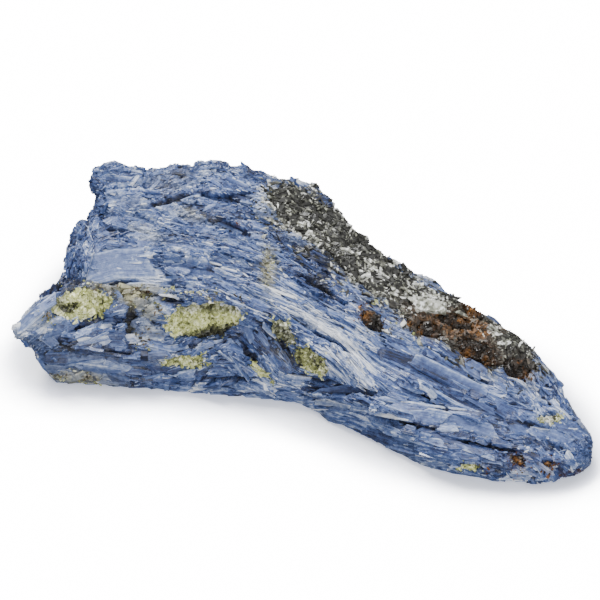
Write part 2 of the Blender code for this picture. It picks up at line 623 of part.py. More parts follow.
def largest_body(obj):
    """Keeps only the largest loose piece, so that no chip cut free by a socket is left."""
    bm = bmesh.new()
    bm.from_mesh(obj.data)
    left, bodies = set(bm.faces), []
    while left:
        stack, body = [left.pop()], []
        while stack:
            face = stack.pop()
            body.append(face)
            for edge in face.edges:
                for other in edge.link_faces:
                    if other in left:
                        left.remove(other)
                        stack.append(other)
        bodies.append(body)
    bodies.sort(key=len)
    chips = [face for body in bodies[:-1] for face in body]
    bmesh.ops.delete(bm, geom=chips, context="FACES")
    bm.to_mesh(obj.data)
    bm.free()


def centre_on_origin(objects):
    """Moves everything together so that the middle of the base lies on the origin."""
    corners = [Vector(corner) for obj in objects for corner in obj.bound_box]
    low = [min(corner[axis] for corner in corners) for axis in range(3)]
    high = [max(corner[axis] for corner in corners) for axis in range(3)]
    shift = Vector((-(low[0] + high[0]) / 2, -(low[1] + high[1]) / 2, -low[2]))
    print("shift to the origin in mm:", [round(value / MM, 3) for value in shift])
    for obj in objects:
        obj.data.transform(Matrix.Translation(shift))


def main():
    clear_scene()
    noise.seed_set(SEED)
    specimen = bpy.data.collections.new("kyanite_with_garnet")
    bpy.context.scene.collection.children.link(specimen)
    rock = make_body(specimen)
    boolean(rock, make_knob(specimen), "UNION")
    core = rock.data.copy()
    add_lumps(rock)
    add_blades(rock)
    cut_clefts(rock)
    merge_flat_faces(rock)
    flatten_base(rock)
    schist = add_schist(rock, core, specimen)
    crusts = add_mica(rock, specimen)
    garnets = add_garnets(rock, schist, specimen)
    for obj in (rock, schist):
        largest_body(obj)
        merge_flat_faces(obj)
    finishes = {name: material(name) for name in COLOURS}
    for objects, name in (([rock], "kyanite"), ([schist], "schist"), (crusts, "mica"), (garnets, "garnet")):
        for obj in objects:
            obj.data.materials.clear()
            obj.data.materials.append(finishes[name])
    centre_on_origin([rock, schist, *crusts, *garnets])


main()
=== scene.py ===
"""Looks of a kyanite specimen with garnets: blades, splinters, mica crusts, dark schist and rusty garnets.

The frame holds the solids. Each is stood for by a finer skin with the same form, and the crystals that are
too small for a solid are laid on the skins. Lengths are millimetres until a mesh is made. Places are given
as seen, by (right, up) in the plane square to a line of sight 40 degrees above the front.
"""

import math

import bmesh
import bpy
import numpy as np
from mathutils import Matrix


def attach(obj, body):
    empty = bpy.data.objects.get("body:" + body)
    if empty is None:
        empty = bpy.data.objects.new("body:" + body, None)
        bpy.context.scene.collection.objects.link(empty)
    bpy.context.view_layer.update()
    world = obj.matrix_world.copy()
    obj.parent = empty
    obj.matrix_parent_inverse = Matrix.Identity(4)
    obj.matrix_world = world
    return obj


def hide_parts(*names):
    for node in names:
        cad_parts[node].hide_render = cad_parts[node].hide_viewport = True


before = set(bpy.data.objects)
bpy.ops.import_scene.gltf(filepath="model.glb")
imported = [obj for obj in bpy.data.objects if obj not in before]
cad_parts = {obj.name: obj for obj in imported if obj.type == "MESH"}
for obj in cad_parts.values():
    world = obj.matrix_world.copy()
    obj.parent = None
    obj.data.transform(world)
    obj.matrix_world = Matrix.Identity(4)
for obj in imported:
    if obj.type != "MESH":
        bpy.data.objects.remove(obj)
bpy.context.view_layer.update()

bl_info = {
    "name": "Kyanite specimen looks",
    "version": (1, 0, 0),
    "blender": (4, 5, 0),
    "location": "3D View > Sidebar > Specimen",
    "description": "Builds the crystals, crusts and finishes of a kyanite specimen around its solids",
    "category": "Object",
}

MM = 0.001
SIGHT = math.radians(40.0)
SIDE = np.array((1.0, 0.0, 0.0))
OVER = np.array((0.0, math.sin(SIGHT), math.cos(SIGHT)))
EYE = np.array((0.0, -math.cos(SIGHT), math.sin(SIGHT)))
# The solids are centred on the origin, which moves what is seen by this much.
MOVED = (0.18, -0.48)
# How softly the grain's and the habits' values run into each other, in square mm.
GRAIN_BLEND = 4.0
HABIT_BLEND = 20.0
# Cells of the skins in mm: one that only tells distances, the rock's and the garnets'.
ROUGH_CELL = 0.7
ROCK_CELL = 0.3
GARNET_CELL = 0.2
# How far crystals stay above the floor, and how deep blades are rooted, in mm.
CLEARANCE = 0.03
ROOT = 0.35
# A blade is left out where its path leaves the skin by more than this, in mm.
LOOSE = 0.8
# Each crystal's own place in the streaks' noise is up to this far off, in mm.
OWN_PLACE = 400
# Points compared at once, which keeps the memory low.
BATCH = 3000

MICA_NODES = tuple(
    f"mica_crust_{where}" for where in ("knob", "centre", "upper", "right", "low", "sliver", "tip", "toe")
)
GARNET_NODES = tuple(
    f"garnet_{where}" for where in ("upper", "middle", "core", "rim", "lower", "end", "toe_a", "toe_b")
)

# How the blades run: right, up, and the slope down to the right in degrees.
GRAIN = (
    (-35, 33, 5), (-26, 37, -14), (-27, 28, 4), (-11, 37, 14), (0, 32, 20), (-33, 19, 3), (-20, 23, 9),
    (-7, 23, 20), (4, 23, 27), (-11, 15, 20), (2, 10, 27), (16, 4, 27), (9, 0, 50), (24, -1, 28), (36, -6, 24),
    (25, -9, 8), (14, -12, 17), (3, -5, 6), (36, -14, 12), (48, -13, 25), (-10, -4, 6), (-30, -2, 3),
    (-44, -1, 6), (-50, 7, -30), (-38, 7, -14), (-39, 2, 14), (-19, 3, -16), (-7, 1, 48), (-41, 22, -75),
    (27, 13, 32), (40, 4, 42), (45, -6, 55),
)

# Habits of the crystals: right, up, how thickly splinters lie, then length, width, how far they stray in
# degrees, and tone.
HABITS = (
    (-24, 31, 1, 1.8, 0.5, 24, 0.5), (-36, 30, 0.8, 1.5, 0.5, 30, 0.48), (-4, 30, 1, 2.4, 0.46, 20, 0.43),
    (-33, 19, 0.4, 5, 0.5, 5, 0.5), (-20, 23, 1, 2.2, 0.34, 13, 0.49), (-8, 20, 1, 3, 0.3, 10, 0.47),
    (-4, 13, 1, 6, 0.26, 4, 0.56), (9, 5, 0.9, 8, 0.26, 4, 0.58), (7, 18, 0.9, 2, 0.36, 20, 0.34),
    (24, -2, 0.35, 9, 0.6, 5, 0.34), (36, -8, 0.35, 7, 0.6, 8, 0.38), (22, -10, 0.45, 7, 0.6, 7, 0.37),
    (44, -8, 0.8, 2, 0.45, 28, 0.48), (38, -16, 0.7, 2, 0.45, 24, 0.4), (-8, -3, 0.6, 4, 0.44, 10, 0.46),
    (-30, -1, 0.4, 3.6, 0.5, 12, 0.46), (-38, 6, 0.3, 4, 0.55, 12, 0.42), (-46, 10, 0.3, 2.4, 0.5, 18, 0.5),
    (-42, 21, 0.9, 1.2, 0.6, 36, 0.44),
)

COVER, LENGTH, WIDTH, STRAY, TONE = 2, 3, 4, 5, 6

# Crystals that stand out: right, up, slope, length, width, how far they rise, and tone. The near-white ones in the
# middle are partly white splinters and partly painted glints.
SINGLES = (
    (-33.6, 19.4, 3, 12.5, 5.4, 0.3, 0.52), (-22, 22.6, 8, 8, 1.6, 0.2, 0.44),
    (22.9, -3.2, 33, 4.8, 1.5, 0.45, 0.7), (21.2, -2, 33, 3, 0.5, 0.4, 0.8),
    (26.4, -1.2, 28, 15, 2.6, 0.3, 0.36), (30.6, -4.6, 29, 11, 1.6, 0.25, 0.4),
    (27.8, -9.2, 12, 16, 2.6, 0.35, 0.46), (24, -6.6, 8, 13, 0.4, 0.45, 0.76),
    (36.4, -9.6, 24, 9, 1.8, 0.3, 0.47), (18, -5.6, 6, 9, 0.9, 0.4, 0.62), (8, -3, 3, 14, 1.6, 0.1, 0.26),
    (12.8, -10.6, 22, 9, 1.4, 0.25, 0.3), (20, -12.4, 20, 9, 1, 0.3, 0.4), (26.8, -12.6, 23, 13, 1, 0.25, 0.28),
    (31, -14.4, 20, 8, 0.9, 0.35, 0.6), (44.6, -11.4, 22, 8, 2.4, 0.3, 0.48), (16, -8, 14, 8, 0.35, 0.5, 0.84),
    (5.6, -5.6, 4, 9, 1, 0.35, 0.66), (14.6, 3.8, 30, 9, 1.4, 0.2, 0.54), (20, 1.2, 30, 12, 1.4, 0.25, 0.46),
    # These near-white splinters, down to (12.6, 0.6), are white fibres that also paint a bright glint.
    (5.6, 3.2, 50, 4, 0.28, 0.6, 1), (6.4, 2.9, 50, 4.2, 0.22, 0.6, 1), (7.2, 2.4, 51, 3.6, 0.24, 0.55, 0.98),
    (6, 2.2, 50, 3.4, 0.22, 0.55, 0.95), (10, 2.2, 52, 4.4, 0.3, 0.55, 0.98),
    (10.8, 1.6, 52, 4, 0.26, 0.55, 0.96), (11.6, 0.8, 50, 3.6, 0.28, 0.5, 0.92),
    (9.2, 1.2, 54, 3.4, 0.24, 0.5, 0.95), (12.6, 0.6, 46, 3.6, 0.3, 0.45, 0.88),
    # (4.6, 7.3) and the others on this line are partly white needles and partly painted glints.
    (4.6, 7.3, 35, 3.6, 0.8, 0.35, 1), (2.6, 8.9, 32, 4.2, 0.35, 0.35, 0.95), (7, 5.6, 38, 4, 0.4, 0.35, 0.95),
    (0, 10.6, 28, 5, 0.3, 0.3, 0.86), (-3, 12.6, 26, 5, 0.28, 0.3, 0.84), (-6.6, 13.2, 24, 4, 0.26, 0.3, 0.82),
    (-13, 18.4, 16, 3, 0.4, 0.35, 0.9), (-16, 19.2, 14, 2.6, 0.35, 0.35, 0.92),
    (-24.4, 13.9, 12, 3.6, 0.4, 0.55, 0.96), (-22.8, 13.4, 24, 2.2, 0.3, 0.5, 0.9),
    (-36.6, 15.5, 1, 8, 0.5, 0.45, 0.72), (-29, 15.8, 3, 6, 0.4, 0.4, 0.7), (-37.6, 14, -6, 11, 1.5, 0.45, 0.5),
    (-41, 13.4, -14, 6, 1, 0.4, 0.46), (-36.4, 0.3, 6, 10, 1.8, 0.3, 0.58), (-33.6, 0.9, 10, 5, 1.2, 0.4, 0.64),
    (-38.6, 3.4, 14, 5, 1.8, 0.1, 0.2), (-44.4, 2.5, 2, 4.2, 2, 0.1, 0.2), (-39.4, 6.8, -34, 9, 1.2, 0.4, 0.52),
    (-38, 5.6, -30, 8, 0.5, 0.5, 0.66), (-42.6, 7.6, -36, 6, 1.5, 0.3, 0.44),
    (-36, 9.4, -22, 8, 1.5, 0.25, 0.34), (-49, 9.4, -42, 6, 2.2, 0.25, 0.54),
    (-46.6, 6.4, 36, 7, 1.8, 0.25, 0.5), (-46.6, 11.6, -34, 5, 1.8, 0.3, 0.54),
    (-44.6, 7.4, -10, 5, 1.8, 0.2, 0.44), (-20.4, -0.4, 1, 15, 1.2, 0.1, 0.25),
    (-23.6, 4, -10, 7, 1.2, 0.3, 0.58), (-16, 5, -14, 8, 0.9, 0.3, 0.56), (-9.6, 7.4, 62, 4.6, 1.3, 0.35, 0.42),
    (-6, 7.2, 40, 3.6, 0.9, 0.4, 0.6), (-3.8, 1.4, 44, 5, 1.2, 0.2, 0.32), (-1.6, -1.4, 10, 7, 0.8, 0.35, 0.66),
    (-12.6, 1.6, 56, 7, 0.5, 0.35, 0.6), (-11.2, 0.6, 54, 8, 0.4, 0.35, 0.56),
    (-14, 2.4, 52, 6, 0.4, 0.35, 0.62), (40.4, -14.2, 28, 6, 0.9, 0.05, 0.14),
    (46.6, -7.2, 40, 4, 0.6, 0.35, 0.72), (42.6, -10.2, 10, 3.6, 0.5, 0.4, 0.76),
    (-30, 24.6, 12, 6, 1.2, 0.25, 0.56), (-37, 24, 4, 3, 1.4, 0.1, 0.3), (-20, 31.4, -22, 4, 0.7, 0.4, 0.58),
    (-12, 34, 24, 5, 0.9, 0.35, 0.42), (-4, 29, 28, 6, 0.9, 0.35, 0.36), (-13, 26, 22, 5, 0.7, 0.35, 0.44),
    (-33.6, 35, 12, 5, 1.2, 0.3, 0.52),
)

# Broad faces with few splinters: right, up, half length, half width and slope.
SMOOTH = (
    (-33.2, 19.2, 7.6, 3.8, 2), (27, -1.4, 11, 2.6, 27), (25, -7.6, 12, 2, 7), (38.5, -9, 9, 2.3, 22),
    (46.6, -9.6, 5, 2.2, 36), (13, -13, 8, 1.8, 16), (-45, 9, 4, 2, 30), (-20, 18.8, 6, 1.4, 12),
    (-34, 31, 4, 1.6, 0), (28, -13.6, 8, 1.3, 12), (-20, 26.4, 4, 1.2, 16), (-36, 27, 3, 1.4, 0),
    (-43, 1.6, 4, 1.6, 4), (-34, 2, 6, 1.2, 4), (-12, 0.4, 5, 1.2, -6),
)

# Clefts between blades, kept open, sunk, and darkened with painted shade: right, up, half length, half width and
# slope.
CLEFTS = (
    (-30.9, 8.2, 4.8, 0.8, 88), (-24, 12.8, 2.4, 1, 14), (-7.3, 7.1, 2.6, 0.6, 62), (-4.6, 5.6, 3.6, 0.8, 52),
    (-9, 2.2, 3.4, 0.7, 50), (-12, 25.6, 3.8, 0.6, 26), (8, -3.6, 7.4, 0.8, 2), (30, -9.6, 8, 0.5, 24),
    (-36, 16.2, 6, 0.5, 0), (41.5, -9.8, 3.6, 0.5, 22), (20.5, -9.8, 7, 0.45, 9), (-24, 30.8, 4.5, 0.5, -16),
    (2.4, 15.4, 4.5, 0.5, 30), (-17, 5, 6, 0.6, -14), (-38, 8.8, 4.6, 0.4, -12), (-45.5, 13.8, 4, 0.4, -42),
    (23, -5.2, 6, 0.4, 30), (-43, 4.8, 4, 0.4, 20), (-33, 3.4, 3, 0.4, 10), (16, -9, 6, 0.4, 14),
    (34, -13.4, 7, 0.4, 12), (2, -1.6, 4, 0.6, 10), (-14, -1.2, 6, 0.4, 2), (27, 1.6, 7, 0.4, 27),
    (5, 5.6, 5, 0.4, 30),
)

# Patches of colour: right, up, half length, half width, slope, then the change of tone and of warmth. Most give the
# stone's own colour, but a few dark ones are painted shade and a few pale ones are partly painted glints.
PATCHES = (
    (-33, 19.2, 7, 3.2, 2, 0.16, 0), (-44.4, 2.6, 2.2, 1.1, 5, -0.3, 0), (1.5, 18.2, 8, 3.2, 38, -0.34, 0),
    # (14, -14.5) is painted shade on the lower front strip.
    (14, -14.5, 12, 2.6, 14, -0.1, 0), (26.5, -1.6, 9, 1.6, 28, -0.14, 0), (22, -8, 12, 1.8, 8, 0.06, 0),
    # (4, 8.2) and (10, 0.6) are partly whitish fibres and partly painted glints.
    (4, 8.2, 8, 1.6, 28, 0.22, 0), (10, 0.6, 4, 1.8, 50, 0.2, 0), (-4, 13.6, 7, 1.8, 24, 0.2, 0),
    (30, 1.2, 5, 1.8, 30, 0.06, 0.05), (37.6, -2.6, 5, 3, 35, 0.12, 0.05), (44, -5.6, 5, 1.6, 55, 0.16, 0),
    (-32.4, 14.7, 7.6, 1.4, 1, -0.08, 0.8), (-30.8, 13, 2.6, 2, 10, -0.1, 0.7),
    (-27.6, 11.2, 1.7, 2.2, 0, 0.1, 0.6), (-40.5, -1.4, 6.2, 1.5, 4, 0.02, 0.7),
    # (-31, 8.6) is painted shade in the deep cleft of the knob.
    (-28.4, 7, 2.4, 2.8, 80, 0.22, 0.25), (-31, 8.6, 0.8, 4.2, 2, -0.45, 0.1),
    # (-22.8, 12.6) is painted shade in the cleft beside the middle crust.
    (-22.8, 12.6, 2.2, 0.9, 10, -0.4, 0), (-6.2, 18.6, 1.5, 4, 0, -0.02, 0.9),
    (-20.6, 29.4, 1.5, 0.8, 30, -0.3, 0.2), (-16.4, 18.4, 1.2, 0.7, 20, -0.35, 0),
    (1, 10.4, 3.2, 1.6, 30, -0.12, 0.15), (-3, 3, 2.6, 1.6, 40, -0.25, 0.1), (7.4, 25.8, 9, 3, 42, -0.2, 0.05),
    (21, 6, 5, 1.6, 30, 0.04, 0), (-14, -3, 14, 1.8, 4, 0.06, 0), (-30, 33.4, 6, 2, -8, 0.1, 0),
    (-41.6, 20, 1.6, 6, 8, -0.14, 0), (-24.6, 2, 3, 1.4, 4, 0.12, 0.3), (-36, 3.2, 7, 1.2, 12, -0.12, 0),
    (5, -3.8, 8, 1.3, 4, -0.16, 0), (-23, 34.4, 5, 2, -12, 0.04, 0.15), (-31, 30.6, 4, 1.4, 6, 0.04, 0.12),
    (-20, 28, 4, 1, 14, 0.02, 0.3), (-28, 24.8, 4, 1.2, 20, 0.04, 0.28), (20, -12.6, 9, 1.6, 16, -0.04, 0),
    (-35, 25, 2, 1.4, 0, -0.12, 0), (-26, -2.4, 12, 1.2, 3, -0.02, 0), (30, -14, 8, 1.4, 10, -0.06, 0),
    (-48, 8.6, 4.4, 3.4, 30, 0.2, 0.16), (-40, 3, 8, 1.6, 6, -0.02, 0.12),
)

# Seams of sandy grains on the kyanite: right, up, half length, half width and slope.
SEAMS = (
    (-32.4, 14.7, 7.6, 1.2, 1), (-28, 6.6, 2.6, 2.4, 80), (-41, -0.9, 6, 0.9, 6), (-6, 18.8, 0.9, 3.2, 0),
    (-30.8, 13, 2.4, 1.8, 10), (-27.6, 11.2, 1.6, 2.2, 0), (-14, 13.2, 6, 0.9, 8), (-26, 10.8, 1.6, 2.2, 60),
    (14, 10.6, 2.4, 1.2, 30), (19, 9.4, 3, 1.6, 30), (-46, 10.4, 1.6, 1.2, 30),
)

# Patches in the crusts: right, up, half length, half width, slope, then the change of tone and of greyness.
CRUST_PATCHES = (
    (-19, 9, 6.4, 1.5, -6, 0.16, -0.4), (-15.6, 7.1, 5.6, 1.2, -12, -0.75, 0.65),
    (-14, 11.6, 5, 1.3, 6, 0, 0.75), (-20.4, 11.4, 2.6, 1, 0, 0, 0.5), (-22, 10.4, 1.8, 2.4, 20, -0.1, 0.2),
    (-41.8, 11.5, 1.3, 0.9, -30, -1, 0.3), (-43.4, 11.4, 1.2, 0.5, 20, -0.5, 0.2),
    (-38, 12.4, 3, 2, -9, 0.05, 0), (-44.4, 12.4, 2, 1.6, -20, 0.05, 0.5),
    (-3.6, 6.9, 3.8, 2.4, 36, -0.12, 0.7), (1.8, 2, 4.4, 3.4, 28, -0.14, 0.25),
    (1.6, 1.8, 1.5, 1, 30, -0.25, 0), (-21, 1.6, 4.6, 1.5, -5, 0.02, 0.1),
    (44.3, -8.4, 3, 1.4, -12, 0.14, 0.55), (30, -17, 3, 1.2, 3, 0.04, 0), (-31.6, 5.4, 2, 1, 0, 0.1, 0.5),
)

# Patches in the schist: right, up, half length, half width, slope, then the change of tone and of rust.
SCHIST_PATCHES = (
    (23, 11.7, 3.4, 1.7, 8, 0.25, 0), (26.5, 8.6, 6.6, 2.2, 20, -0.55, 0.5),
    (30, 8.2, 3.4, 1.2, 24, -0.1, 0.25), (33.4, 5, 5, 1.4, 30, -0.16, 0.05),
    (32.6, 7.4, 1.5, 0.8, 20, 0.35, 0.35), (10, 22, 5, 2, 40, -0.14, 0), (16, 16, 4, 1.2, 34, -0.14, 0),
    (1, 29, 5, 3, 30, -0.2, 0), (7, 24, 5, 2.4, 42, -0.12, 0), (18, 12.6, 2.6, 1.4, 30, 0.12, 0.05),
    (36, 4.6, 3, 1, 40, 0.1, 0), (22.4, 13.8, 3.6, 1, 20, 0.14, 0), (6, 24, 3, 1.2, 44, 0.08, 0),
)

# Pieces of a quartz grain in the schist: right, up, slope, length, width and tone.
QUARTZ = (
    (23, 11.8, 8, 6.4, 2.9, 0.8), (21.4, 12.6, 16, 3, 1.4, 0.76), (25.4, 11, 22, 2.4, 1.4, 0.74),
    (27.6, 8.3, 30, 1.8, 0.9, 0.8), (16.6, 13.6, 20, 1.8, 0.9, 0.74), (18.8, 14.4, 34, 2.2, 0.9, 0.7),
    (15, 17, 30, 2, 0.8, 0.8), (12, 19.4, 40, 1.8, 0.8, 0.84), (28.8, 10.2, 24, 2.2, 0.9, 0.66),
    (32, 9.2, 34, 2, 0.8, 0.66), (34.6, 7.4, 40, 2.2, 0.8, 0.62), (8.6, 21.4, 36, 1.8, 0.8, 0.8),
)

# Rusty stains: right, up and reach.
STAINS = (
    (11.4, 10.6, 1.3), (22.2, 7, 1.2), (30.6, 11, 1.4), (32.6, 7.4, 1.1), (29.6, 2.8, 1.1), (33.4, 1.8, 0.9),
    (40.6, -1, 0.9), (19.2, 8.6, 0.8), (38.8, -16.3, 1.7), (44.4, -16.9, 1.2), (47, -18.6, 0.8),
    (49.6, -18, 0.7), (33.2, -17, 0.6), (-11.6, 26.6, 0.45), (31.4, -16.8, 0.7), (36.6, 8.2, 0.9),
    (26.4, 6.2, 0.6), (28.6, 9.2, 0.6),
)

KYANITE_RAMP = (
    (0.00, (0.007, 0.010, 0.026)), (0.22, (0.020, 0.036, 0.115)), (0.42, (0.056, 0.096, 0.250)),
    (0.58, (0.125, 0.182, 0.370)), (0.76, (0.330, 0.400, 0.575)), (1.00, (0.820, 0.840, 0.880)),
)
SCHIST_RAMP = (
    (0.00, (0.008, 0.008, 0.007)), (0.35, (0.036, 0.036, 0.030)), (0.60, (0.120, 0.122, 0.100)),
    (0.80, (0.300, 0.305, 0.245)), (1.00, (0.740, 0.750, 0.730)),
)
MICA_RAMP = (
    (0.00, (0.030, 0.032, 0.016)), (0.30, (0.160, 0.170, 0.065)), (0.55, (0.400, 0.430, 0.155)),
    (0.80, (0.660, 0.690, 0.270)), (1.00, (0.930, 0.940, 0.620)),
)
GARNET_RAMP = (
    (0.00, (0.006, 0.005, 0.004)), (0.45, (0.030, 0.018, 0.010)), (0.70, (0.130, 0.050, 0.014)),
    (0.88, (0.380, 0.150, 0.030)), (1.00, (0.620, 0.360, 0.110)),
)


# Places and directions


def seen(points):
    """(right, up) of points."""
    return points @ SIDE - MOVED[0], points @ OVER - MOVED[1]


def habits_at(points):
    """The habits' rows at points, each a mean of HABITS' rows by nearness."""
    return nearness(points, HABITS, HABIT_BLEND) @ np.array(HABITS, float)


def nearness(points, places, softness):
    """How much each place counts at each point, as 1 / (distance^2 + softness)^2 in the seen plane."""
    right, up = seen(points)
    table = np.asarray(places, float)
    far = (right[:, None] - table[:, 0]) ** 2 + (up[:, None] - table[:, 1]) ** 2
    weights = 1.0 / (far + softness) ** 2
    return weights / weights.sum(axis=1, keepdims=True)


def grain_direction(points, normals, stray=0.0):
    """Unit vectors along the blades, in the surface: the slope is the mean of GRAIN's, by twice the angle."""
    slopes = np.radians(np.array([row[2] for row in GRAIN], float))
    weights = nearness(points, GRAIN, GRAIN_BLEND)
    return in_surface(0.5 * np.arctan2(weights @ np.sin(2 * slopes), weights @ np.cos(2 * slopes)) + stray, normals)


def in_surface(slope, normals):
    """Unit vectors in the surface that run down to the right at the slope a, as seen.

    Seen, they run along side cos a - over sin a. Where the surface faces the eye they slide along the line
    of sight until they lie in the surface, and elsewhere they are laid flat on it.
    """
    run = np.cos(slope)[:, None] * SIDE - np.sin(slope)[:, None] * OVER
    facing = normals @ EYE
    lean = (run * normals).sum(axis=1)
    slide = np.clip(-lean / np.maximum(facing, 0.25), -2.0, 2.0)
    front = run + slide[:, None] * EYE
    flat = run - lean[:, None] * normals
    share = np.clip((facing - 0.1) / 0.3, 0.0, 1.0)[:, None]
    mixed = front * share + flat * (1 - share)
    mixed -= (mixed * normals).sum(axis=1)[:, None] * normals
    return unit(mixed)


def unit(vectors):
    """The vectors made one long."""
    return vectors / np.maximum(np.linalg.norm(vectors, axis=1, keepdims=True), 1e-9)


def lattice(corner, seed):
    """A number from 0 to 1 for each whole-numbered place, as well mixed as chance."""
    mixed = (corner[:, 0] * 73856093) ^ (corner[:, 1] * 19349663) ^ (corner[:, 2] * 83492791) ^ (seed * 2654435)
    mixed = (mixed ^ (mixed >> 13)) * 1274126177
    return ((mixed ^ (mixed >> 16)) & 0xFFFF) / 65535.0


def noise(points, size, seed, octaves=2):
    """Smooth value noise from -1 to 1 with features of the given size, halved at each octave."""
    total, height = np.zeros(len(points)), 1.0
    for octave in range(octaves):
        place = points / size * 2**octave + 517.3
        base = np.floor(place).astype(np.int64)
        part = place - base
        part = part * part * (3 - 2 * part)
        value = np.zeros(len(points))
        for corner in np.ndindex(2, 2, 2):
            share = np.prod(np.where(np.array(corner) == 1, part, 1 - part), axis=1)
            value += share * lattice(base + np.array(corner), seed + octave)
        total += (value * 2 - 1) * height
        height *= 0.5
    return total


# Meshes as arrays


def cad_mesh(names):
    """One merged mesh of the named solids, in metres."""
    bm = bmesh.new()
    for name in names:
        bm.from_mesh(bpy.data.objects[name].data)
    bmesh.ops.remove_doubles(bm, verts=bm.verts, dist=1e-7)
    mesh = bpy.data.meshes.new("merged")
    bm.to_mesh(mesh)
    bm.free()
    return mesh


def skin(names, cell):
    """(points, quads) of an even skin over the named solids, with cells of the given size."""
    obj = bpy.data.objects.new("skin", cad_mesh(names))
    bpy.context.scene.collection.objects.link(obj)
    modifier = obj.modifiers.new("Skin", "REMESH")
    modifier.mode = "VOXEL"
    modifier.voxel_size = cell * MM
    bpy.context.view_layer.update()
    made = bpy.data.meshes.new_from_object(obj.evaluated_get(bpy.context.evaluated_depsgraph_get()))
    points = np.empty(len(made.vertices) * 3, np.float32)
    made.vertices.foreach_get("co", points)
    corners = np.empty(len(made.loops), np.int32)
    made.loops.foreach_get("vertex_index", corners)
    bpy.data.objects.remove(obj)
    bpy.data.meshes.remove(made)
    return points.reshape(-1, 3).astype(float) / MM, corners.reshape(-1, 4)


def point_normals(points, quads, passes=0):
    """Unit normals at the points, from the quads' diagonals, then evened out over neighbours."""
    corner = points[quads]
    normal = np.cross(corner[:, 2] - corner[:, 0], corner[:, 3] - corner[:, 1])
    found = gather(np.repeat(normal, 4, axis=0), quads.ravel(), len(points))
    for _ in range(passes):
        found = unit(found)
        mean = found[quads].mean(axis=1)
        found = gather(np.repeat(mean, 4, axis=0), quads.ravel(), len(points))
    return unit(found)


def gather(values, places, count):
    """The sum of the values at each place."""
    return np.column_stack([np.bincount(places, column, count) for column in values.T])


def scatter(points, quads, normals, count, rng, keep=None):
    """Points and normals spread by chance over a skin, as many to each part as its area asks for."""
    corner = points[quads]
    area = np.linalg.norm(np.cross(corner[:, 2] - corner[:, 0], corner[:, 3] - corner[:, 1]), axis=1)
    if keep is not None:
        area = area * keep[quads].mean(axis=1)
    chosen = rng.choice(len(quads), count, p=area / area.sum())
    share = rng.dirichlet((1, 1, 1, 1), count)
    place = (corner[chosen] * share[:, :, None]).sum(axis=1)
    return place, unit((normals[quads[chosen]] * share[:, :, None]).sum(axis=1))


def scatter_over(rng, *skins):
    """Points and normals spread over several skins in turn, each given as scatter takes it but for rng."""
    found = [scatter(*given[:4], rng, *given[4:]) for given in skins]
    return np.vstack([place for place, _ in found]), np.vstack([normal for _, normal in found])


def next_to(quads, count, most=8):
    """The points next to each point, one row each, filled up with the point itself."""
    ends = np.vstack([quads[:, [k, (k + 1) % 4]] for k in range(4)]).astype(np.int64)
    code = np.unique(np.concatenate([ends[:, 0] * count + ends[:, 1], ends[:, 1] * count + ends[:, 0]]))
    source, other = code // count, code % count
    rank = np.arange(len(source)) - np.searchsorted(source, np.arange(count))[source]
    table = np.repeat(np.arange(count)[:, None], most, axis=1)
    kept = rank < most
    table[source[kept], rank[kept]] = other[kept]
    return table


def settle(points, table, place, index):
    """The nearest point to each place, found by two looks at the points next to the last one."""
    rows = np.arange(len(place))
    for _ in range(2):
        choice = np.column_stack([index, table[index]])
        far = ((points[choice] - place[:, None]) ** 2).sum(axis=2)
        index = choice[rows, far.argmin(axis=1)]
    return index


def seen_points(points, normals, table):
    """The point of the skin that is seen at each row's (right, up)."""
    right, up = seen(points)
    far = (right[:, None] - table[:, 0]) ** 2 + (up[:, None] - table[:, 1]) ** 2
    return (far + np.where(normals @ EYE > 0.15, 0, 1e6)[:, None]).argmin(axis=0)


def paths(skin_parts, index, stray, length, sections, hops):
    """Paths over the skin along the grain, turned by stray: their places, normals and largest gap.

    A walker goes half the length each way from its point. After each hop it settles on the tangent plane
    of the nearest point. The paths are then evened out, as blades are stiff.
    """
    points, table, normals, grain = skin_parts
    count, middle = len(index), sections // 2
    places, facing, gap = np.empty((count, sections, 3)), np.empty((count, sections, 3)), np.zeros(count)
    places[:, middle], facing[:, middle] = points[index], normals[index]
    hop = (length / (sections - 1) / hops)[:, None]
    for way in (-1, 1):
        at, near = points[index], index
        heading = turned(grain[near], normals[near], stray) * way
        for section in range(1, middle + 1):
            for _ in range(hops):
                run = turned(grain[near], normals[near], stray)
                run = run * np.where((run * heading).sum(axis=1) < 0, -1.0, 1.0)[:, None]
                heading = run
                at = at + run * hop
                near = settle(points, table, at, near)
                at = at - ((at - points[near]) * normals[near]).sum(axis=1)[:, None] * normals[near]
                gap = np.maximum(gap, np.linalg.norm(at - points[near], axis=1))
            places[:, middle + way * section], facing[:, middle + way * section] = at, normals[near]
    for _ in range(2):
        places[:, 1:-1] = places[:, 1:-1] / 2 + (places[:, :-2] + places[:, 2:]) / 4
        facing[:, 1:-1] = facing[:, 1:-1] / 2 + (facing[:, :-2] + facing[:, 2:]) / 4
    if sections > 3:
        for near_end, end in ((1, 0), (-2, -1)):
            places[:, near_end] = places[:, near_end] * 0.4 + places[:, end] * 0.6
    return places, facing / np.maximum(np.linalg.norm(facing, axis=2, keepdims=True), 1e-9), gap


def streaked(values, skin_parts, steps, hop=0.35):
    """The values, each made the mean along the path of the grain through its point."""
    points, table, normals, grain = skin_parts
    total = values.copy()
    for way in (-1, 1):
        at, near = points, np.arange(len(points))
        heading = grain * way
        for _ in range(steps):
            run = grain[near]
            heading = run * np.where((run * heading).sum(axis=1) < 0, -1.0, 1.0)[:, None]
            at = at + heading * hop
            near = settle(points, table, at, near)
            total = total + values[near]
    total -= total.mean()
    return total / total.std()


def nearest(points, others):
    """The distance from each point to the nearest of the others."""
    found = np.empty(len(points))
    squares = (others**2).sum(axis=1)
    for start in range(0, len(points), BATCH):
        part = points[start : start + BATCH]
        far = (part**2).sum(axis=1)[:, None] + squares - 2 * part @ others.T
        found[start : start + BATCH] = np.sqrt(np.maximum(far.min(axis=1), 0))
    return found


